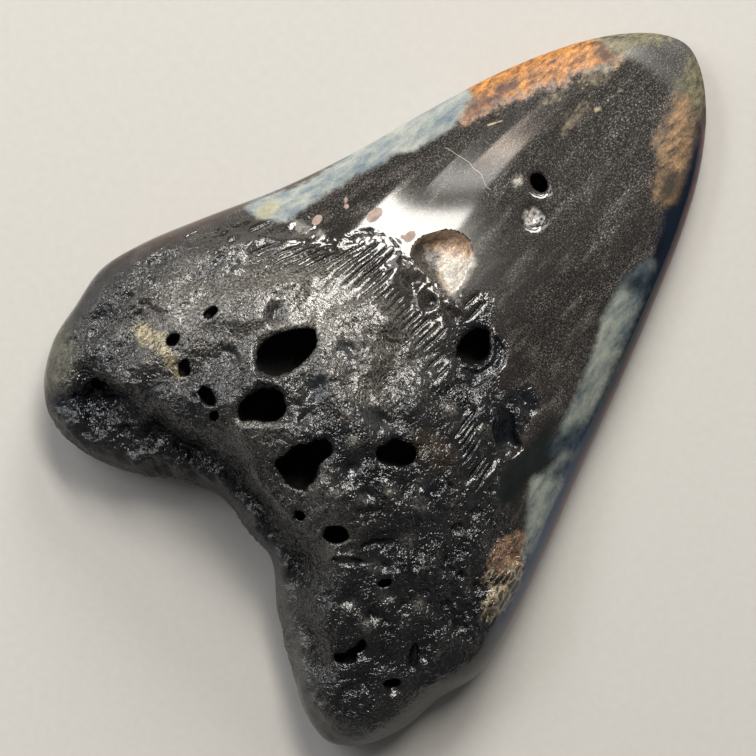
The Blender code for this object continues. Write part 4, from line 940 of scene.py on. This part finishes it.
# pale dust together with a painted sheen, only where the dust_and_sheen share allows
pale_dust_and_sheen = node(tree, NOISE, {}, {"Vector": mm_at, "Scale": 2.4, "Detail": 3.0, "Roughness": 0.7})
pale_dust_and_sheen_to = node(tree, RANGE, {}, {"Value": read["dust_and_sheen"], "To Min": 0.0, "To Max": 0.85})
pale_dust_and_sheen = node(tree, RANGE, {}, {"Value": pale_dust_and_sheen, "From Min": 0.40, "From Max": 0.64, "To Max": pale_dust_and_sheen_to})
root_tone = node(tree, MIX, RGBA, {0: pale_dust_and_sheen, 6: root_tone, 7: colour("#858077")}, 2)
# painted reflection: the pits' floors tinted blue-grey as if mirroring a bluish light
pit_sheen = node(tree, RANGE, SMOOTH,
               {"Value": read["in_pit"], "From Min": -0.2, "From Max": 0.9, "To Max": 0.65})
root_tone = node(tree, MIX, RGBA, {0: pit_sheen, 6: root_tone, 7: colour("#12161b")}, 2)
base = node(tree, MIX, RGBA, {0: read["skin"], 6: crown, 7: root_tone}, 2)

# --- the stains and the painted light and shade patches, each two tones mottled together inside a wandering edge
TONES = (   # stain, dark tone, light tone, mottle size mm, soft edge mm, wander mm
    ("smooth", "#0c0e0e", "#171a1a", 3.0, 1.0, 0.6),
    ("wine", "#150605", "#35130e", 1.4, 1.7, 1.4),
    ("cream", "#1c1c18", "#4a493c", 1.1, 1.6, 1.6),
    # painted shade along the long lobe's valley
    ("valley_shade", "#04060b", "#0a1019", 1.2, 1.2, 1.2),
    ("gold", "#0c0a08", "#938869", 0.5, 0.7, 1.4),
    ("cells", "#050504", "#2e2a23", 1.1, 0.6, 1.0),
    ("pink", "#2a211b", "#80644f", 0.9, 0.6, 1.0),
    ("pale", "#434d53", "#83877d", 2.6, 0.7, 0.4),
    ("slate", "#181f26", "#39434a", 1.6, 1.6, 0.5),
    ("navy", "#020509", "#07121f", 4.0, 0.9, 0.3),
    ("blue", "#58636b", "#898b83", 2.2, 0.6, 0.5),
    ("butter", "#6c6a5a", "#8b8870", 1.6, 0.9, 0.4),
    ("amber", "#351906", "#ab7233", 0.9, 1.4, 1.3),
    ("olive", "#211f18", "#6a644c", 0.9, 1.5, 1.3),
    ("tan", "#241a10", "#876a4a", 1.0, 1.5, 1.1),
    ("rust", "#1f0e05", "#532d13", 0.9, 0.9, 0.8),
    ("umber", "#14100b", "#2b2319", 1.6, 1.4, 0.9),
    ("smear", "#1e1b18", "#7d7464", 0.4, 0.9, 1.5),
    ("whitish", "#3a3835", "#7d7973", 0.7, 0.5, 0.6),
    ("shell", "#4f3929", "#bb9f86", 1.4, 0.3, 0.2),
    # pale stone with a painted highlight, then dark stain with painted shade
    ("shell_white_and_lit", "#6c665e", "#b1aba0", 0.7, 1.0, 0.6),
    ("shell_dark_and_shaded", "#0b0a09", "#4b4640", 0.5, 0.7, 0.8),
    ("frost", "#2c2926", "#c6c2bb", 0.35, 0.5, 0.5),
    ("pebble", "#69554c", "#8b786d", 0.8, 0.14, 0.08),
)
SALT_ON_PALE = 0.35                      # share of the salt and pepper on the palest stains
FOOT_WANDER, STREAK_WANDER = 2.0, 3.0    # millimetres
wander = node(tree, NOISE, {}, {"Vector": mm_at, "Scale": 0.8, "Detail": 5.0, "Roughness": 0.7})
wander = node(tree, MATH, MINUS, {0: wander, 1: NOISE_MIDDLE})
salt = node(tree, RANGE, {},
            {"Value": speck, "From Min": 0.3, "From Max": 0.72, "To Min": 0.35, "To Max": 1.9})
masks = {}
for name, dark, light, size, soft, sway in TONES:
    mottle = node(tree, NOISE, {},
                  {"Vector": long_at, "Scale": 1.0 / size, "Detail": 5.0, "Roughness": 0.66})
    mottle = node(tree, RANGE, {}, {"Value": mottle, "From Min": 0.34, "From Max": 0.64})
    tone = node(tree, MIX, RGBA, {0: mottle, 6: colour(dark), 7: colour(light)}, 2)
    edge = node(tree, MATH, TIMES_PLUS, {0: wander, 1: NOISE_SPREAD * sway, 2: read[name]})
    masks[name] = node(tree, RANGE, SMOOTH, {"Value": edge, "From Min": -soft, "From Max": soft})
    base = node(tree, MIX, RGBA, {0: masks[name], 6: base, 7: tone}, 2)
veins = node(tree, CELLS, {"feature": "DISTANCE_TO_EDGE"}, {"Vector": long_at, "Scale": 0.75})
veins = node(tree, RANGE, {}, {"Value": veins, "From Min": 0.16, "From Max": 0.03})
veins = node(tree, MATH, TIMES, {0: veins, 1: masks["cells"]})
base = node(tree, MIX, RGBA, {0: veins, 6: base, 7: colour("#7d705c")}, 2)
stained = node(tree, VECTOR, SCALED, {0: base, "Scale": salt})
in_stain = masks["amber"]
for name in ("olive", "tan", "rust", "blue", "pale", "wine", "cream", "pink", "cells", "shell", "gold"):
    share = SALT_ON_PALE if name in ("blue", "pale") else 1.0
    part = node(tree, MATH, TIMES, {0: masks[name], 1: share})
    in_stain = node(tree, MATH, LARGER, {0: in_stain, 1: part})
base = node(tree, MIX, RGBA, {0: in_stain, 6: base, 7: stained}, 2)

# --- along the right flank the ground edge shows dark slate, and a wine line at its foot
side = node(tree, RANGE, {}, {"Value": across, "From Min": 6.0, "From Max": 12.0})
up_side = node(tree, RANGE, {}, {"Value": along, "From Min": -34.0, "From Max": -26.0})
side = node(tree, MATH, TIMES, {0: side, 1: up_side})
foot = node(tree, MATH, TIMES_PLUS, {0: wander, 1: -FOOT_WANDER, 2: read["from_rim"]})
foot_edge = node(tree, RANGE, SMOOTH, {"Value": foot, "From Min": 3.6, "From Max": 1.2})
foot_edge = node(tree, MATH, TIMES, {0: foot_edge, 1: side})
to_root = node(tree, RANGE, {}, {"Value": along, "From Min": 14.0, "From Max": -12.0})
edge_tone = node(tree, MIX, RGBA, {0: to_root, 6: colour("#07111f"), 7: colour("#0d2743")}, 2)
wine_line = node(tree, RANGE, SMOOTH, {"Value": foot, "From Min": 1.0, "From Max": 0.4})
wine_line = node(tree, MATH, TIMES, {0: wine_line, 1: side})
veined = node(tree, NOISE, {}, {"Vector": long_at, "Scale": 0.9, "Detail": 5.0, "Roughness": 0.7})
veined = node(tree, RANGE, {}, {"Value": veined, "From Min": 0.4, "From Max": 0.62})
wine_tone = node(tree, MIX, RGBA, {0: veined, 6: colour("#12070d"), 7: colour("#5e1526")}, 2)

# --- hair crack and pale streaks
thin_line = node(tree, MATH, SIZE_OF, {0: read["off_crack"]})
thin_line = node(tree, RANGE, {},
                 {"Value": thin_line, "From Min": 0.09, "From Max": 0.02, "To Max": 0.75})
streak = node(tree, MATH, TIMES_PLUS, {0: wander, 1: STREAK_WANDER, 2: read["off_streak"]})
streak = node(tree, RANGE, {}, {"Value": streak, "From Min": 1.4, "From Max": 0.6, "To Max": 0.8})

# --- painted shade: the wells go black with depth, and the furrow is painted nearly black
FURROW_DARKNESS = 0.9
shade = node(tree, RANGE, {}, {"Value": read["deep"], "From Min": 0.2, "From Max": 2.4})
shade = node(tree, MATH, {"operation": "MULTIPLY_ADD", "use_clamp": True},
             {0: read["in_furrow"], 1: FURROW_DARKNESS, 2: shade})

# --- the root's rim was ground but never polished, and on the long lobe it is plain grey
worn_rim = node(tree, RANGE, SMOOTH, {"Value": read["from_rim"], "From Min": 5.0, "From Max": 0.5})
worn_rim = node(tree, MATH, TIMES, {0: worn_rim, 1: read["skin"]})
ground = node(tree, RANGE, {}, {"Value": along, "From Min": -42.0, "From Max": -50.0, "To Max": 0.6})
long_lobe = node(tree, RANGE, {}, {"Value": across, "From Min": -12.0, "From Max": 8.0})
for share in (worn_rim, long_lobe, grainy):
    ground = node(tree, MATH, TIMES, {0: ground, 1: share})
for share, tone in ((foot_edge, edge_tone), (wine_line, wine_tone), (thin_line, colour("#978f85")),
                    (streak, colour("#a89a7c")), (shade, colour("#040404")), (ground, colour("#4b4b48"))):
    base = node(tree, MIX, RGBA, {0: share, 6: base, 7: tone}, 2)

# --- gloss: a mirror on the crown, a worn sheen on the root, dull on stains and in the pale scoop
CROWN_ROUGHNESS = 0.09
rub = node(tree, NOISE, {}, {"Vector": mm_at, "Scale": 0.35, "Detail": 3.0})
rub = node(tree, RANGE, {},
           {"Value": rub, "From Min": 0.3, "From Max": 0.7, "To Min": 0.11, "To Max": 0.22})
gloss = node(tree, MIX, NUMBER, {0: read["skin"], 2: CROWN_ROUGHNESS, 3: rub})
dull = masks["amber"]
for name in ("olive", "tan", "rust"):
    dull = node(tree, MATH, LARGER, {0: dull, 1: masks[name]})
at_tip = node(tree, RANGE, SMOOTH, {"Value": along, "From Min": 54.0, "From Max": 60.0, "To Max": 0.9})
for share, worn_to in ((masks["shell"], 0.42), (dull, 0.62), (at_tip, 0.8), (masks["pebble"], 0.65),
                       (worn_rim, 0.5)):
    gloss = node(tree, MIX, NUMBER, {0: share, 2: gloss, 3: worn_to})
gloss = node(tree, RANGE, {},
             {"Value": read["deep"], "From Min": 0.3, "From Max": 3.0, "To Min": gloss, "To Max": 0.8})

# --- relief too fine for the mesh: grit of about 0.3 mm on the root, none on the ground parts
SWIRL_TILT, FACET_TILT, CALM_WHERE_SILVERED, CALM_WHERE_WORN = 0.12, 1.7, 0.6, 0.8
HALF = (0.5, 0.5, 0.5)
FOLD_HEIGHT, CRUMPLE_HEIGHT, GROOVE_DEPTH = 0.12, 0.08, 0.2   # millimetres
gritty = node(tree, MATH, LARGER, {0: read["skin"], 1: masks["shell"]})
calm = node(tree, RANGE, {},
            {"Value": read["in_pit"], "From Min": -0.6, "From Max": 0.6, "To Min": 1.0, "To Max": 0.45})
furrowed = node(tree, RANGE, {},
                {"Value": read["off_stria"], "From Min": 0.9, "From Max": 2.2, "To Min": 0.3,
                 "To Max": 1.0})
for share in (calm, furrowed):
    gritty = node(tree, MATH, TIMES, {0: gritty, 1: share})
swirl = node(tree, NOISE, {}, {"Vector": mm_at, "Scale": 2.2, "Detail": 2.0, "Roughness": 0.6}, 1)
facets = node(tree, CELLS, {}, {"Vector": mm_at, "Scale": 5.0}, 1)
swirled = node(tree, VECTOR, MINUS, {0: swirl, 1: HALF})
swirled = node(tree, VECTOR, SCALED, {0: swirled, "Scale": SWIRL_TILT})
faceted = node(tree, VECTOR, MINUS, {0: facets, 1: HALF})
stand_up = node(tree, VECTOR, {"operation": "DOT_PRODUCT"}, {0: faceted, 1: faceted}, 1)
stand_up = node(tree, MATH, TIMES, {0: stand_up, 1: FACET_TILT})
faceted = node(tree, VECTOR, SCALED, {0: faceted, "Scale": stand_up})
tilts = node(tree, VECTOR, PLUS, {0: swirled, 1: faceted})
calmer = node(tree, MATH, TIMES_PLUS, {0: read["dust_and_sheen"], 1: -CALM_WHERE_SILVERED, 2: 1.0})
calmer = node(tree, MATH, TIMES, {0: calmer, 1: gritty})
unworn = node(tree, MATH, TIMES_PLUS, {0: worn_rim, 1: -CALM_WHERE_WORN, 2: 1.0})
unworn = node(tree, MATH, LARGER, {0: unworn, 1: read["notched"]})
calmer = node(tree, MATH, TIMES, {0: calmer, 1: unworn})
tilts = node(tree, VECTOR, SCALED, {0: tilts, "Scale": calmer})
folds = node(tree, NOISE, {},
             {"Vector": mm_at, "Scale": 0.62, "Detail": 2.0, "Roughness": 0.55, "Distortion": 0.3})
folds = node(tree, MATH, MINUS, {0: folds, 1: NOISE_MIDDLE})
folds = node(tree, MATH, SIZE_OF, {0: folds})
folds = node(tree, RANGE, SMOOTH, {"Value": folds, "From Max": 0.09, "To Max": FOLD_HEIGHT})
crumple = node(tree, NOISE, {}, {"Vector": mm_at, "Scale": 1.5, "Detail": 3.0, "Roughness": 0.7})
leather = node(tree, MATH, TIMES_PLUS, {0: crumple, 1: CRUMPLE_HEIGHT, 2: folds})
groove = node(tree, RANGE, SMOOTH,
              {"Value": read["off_stria"], "From Min": 0.03, "From Max": 0.34, "To Max": GROOVE_DEPTH})
facing = node(tree, "ShaderNodeBump", {}, {"Distance": MM, "Height": groove})
facing = node(tree, "ShaderNodeBump", {},
              {"Strength": calmer, "Distance": MM, "Height": leather, "Normal": facing})
facing = node(tree, VECTOR, PLUS, {0: facing, 1: tilts})
facing = node(tree, VECTOR, {"operation": "NORMALIZE"}, {0: facing})

shader = node(tree, "ShaderNodeBsdfPrincipled", {},
              {"Base Color": base, "Roughness": gloss, "Normal": facing, "IOR": 1.52})
out = tree.nodes.new("ShaderNodeOutputMaterial")
tree.links.new(shader, out.inputs["Surface"])

tooth = bpy.data.objects.new("fossil_tooth", mesh)
bpy.context.scene.collection.objects.link(tooth)
rough = tooth.modifiers.new("grain", "NODES")
rough.node_group = grain
settings = {**GRAIN_SIZES, "Seed": GRAIN_SEED, "Finish": finish}
for item in grain.interface.items_tree:
    if item.in_out == "INPUT" and item.name in settings:
        rough[item.identifier] = settings[item.name]
shaped_mesh = bpy.data.meshes.new_from_object(tooth.evaluated_get(bpy.context.evaluated_depsgraph_get()))
tooth.modifiers.remove(rough)
tooth.data = shaped_mesh
shaped_mesh.name = "fossil_tooth"
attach(tooth, "root")
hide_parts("tooth")

# ============================================================ the floor
# A seamless sheet of pale matt paper, wider than any view of the tooth.
paper = bpy.data.materials.new("matt_pale_paper")
paper.use_nodes = True
paper_tree = paper.node_tree
paper_tree.nodes.clear()
paper_at = node(paper_tree, "ShaderNodeTexCoord", {}, {}, 3)
fibre = node(paper_tree, NOISE, {}, {"Vector": paper_at, "Scale": 700.0, "Detail": 3.0})
fibre = node(paper_tree, MIX, RGBA, {0: fibre, 6: colour("#a8a5a0"), 7: colour("#b0ada9")}, 2)
paper_shader = node(paper_tree, "ShaderNodeBsdfPrincipled", {},
                    {"Base Color": fibre, "Roughness": 0.85})
paper_out = paper_tree.nodes.new("ShaderNodeOutputMaterial")
paper_tree.links.new(paper_shader, paper_out.inputs["Surface"])

FLOOR_HALF = 3.0   # metres
floor_corners = [(x * FLOOR_HALF, y * FLOOR_HALF, 0.0) for x, y in ((-1, -1), (1, -1), (1, 1), (-1, 1))]
floor_mesh = bpy.data.meshes.new("floor")
floor_mesh.from_pydata(floor_corners, [], [(0, 1, 2, 3)])
floor_mesh.materials.append(paper)
floor = bpy.data.objects.new("floor", floor_mesh)
bpy.context.scene.collection.objects.link(floor)

# ============================================================ light
# A strip softbox high on the left, which the crown mirrors, with two small cards at its edge;
# wide dim ones for the shoulder and the lobe, one low that rakes the pits, and a dim even room.
AIM = Vector((-0.012, 0.014, 0.014))    # the top of the crown, which every softbox faces
SOFTBOXES = (   # name, left and right end of its near edge, width (all metres), strength, tint
    ("strip_softbox", (-1.062, 0.657, 0.871), (-0.055, 0.700, 1.347), 0.24, 26.5, "#fffbf2"),
    ("dim_panel", (-0.75, 0.610, 1.16), (-0.098, 0.610, 1.41), 0.05, 8.5, "#fbf8f2"),
    ("warm_card", (-0.46, 0.588, 1.32), (-0.12, 0.588, 1.42), 0.02, 24.0, "#ffe9d6"),
    ("high_softbox", (-1.000, 0.950, 0.620), (-0.100, 0.950, 0.980), 0.40, 4.0, "#fdfdff"),
    ("glow_softbox", (-0.750, 0.840, 0.660), (-0.330, 0.840, 0.660), 0.34, 22.0, "#fffcf4"),
    ("side_softbox", (-0.80, 0.04, 0.66), (-0.80, -0.46, 0.66), 0.26, 8.0, "#fbfcff"),
    ("lobe_softbox", (-0.86, 0.30, 0.44), (-0.86, 0.00, 0.44), 0.24, 8.0, "#fdfdff"),
    ("raking_softbox", (-0.78, 0.12, 0.14), (-0.78, -0.62, 0.14), 0.13, 8.0, "#ffffff"),
)
for name, left, right, width, strength, tint in SOFTBOXES:
    left, right = Vector(left), Vector(right)
    side = (right - left).normalized()
    back = ((left + right) / 2 - AIM).normalized()
    back = (back - back.dot(side) * side).normalized()
    turn = back.cross(side)
    lamp = bpy.data.lights.new(name, "AREA")
    lamp.shape = "RECTANGLE"
    lamp.size, lamp.size_y = (right - left).length, width
    lamp.energy = strength * lamp.size * lamp.size_y * math.pi
    lamp.color = colour(tint)[:3]
    softbox = bpy.data.objects.new(name, lamp)
    softbox.matrix_world = Matrix((side, turn, back)).transposed().to_4x4()
    softbox.location = (left + right) / 2 + turn * width / 2
    bpy.context.scene.collection.objects.link(softbox)

room = bpy.data.worlds.new("even_room")
room.use_nodes = True
even = room.node_tree.nodes["Background"]
even.inputs["Color"].default_value = colour("#f2f4f7")
even.inputs["Strength"].default_value = 0.17
bpy.context.scene.world = room
bpy.context.scene.view_settings.view_transform = "Standard"
bpy.context.scene.view_settings.look = "None"

# ============================================================ camera
# Looks straight down, turned so that the tip points up and to the right.
VIEW_WIDTH, VIEW_PLANE = 128.5, 5.0   # millimetres across the view, at this height
LENS, SENSOR = 200.0, 36.0
CAMERA_AT = (-0.17, -13.6)
CAMERA_TURN = 44.0                    # degrees
eye = bpy.data.cameras.new("camera")
eye.sensor_width = SENSOR
eye.lens = LENS
camera = bpy.data.objects.new("camera", eye)
camera.location = ((CAMERA_AT[0] - middle[0]) * MM, (CAMERA_AT[1] - middle[1]) * MM,
                   (VIEW_PLANE + VIEW_WIDTH * LENS / SENSOR) * MM)
camera.rotation_euler = (0.0, 0.0, math.radians(CAMERA_TURN))
bpy.context.scene.collection.objects.link(camera)
bpy.context.scene.camera = camera
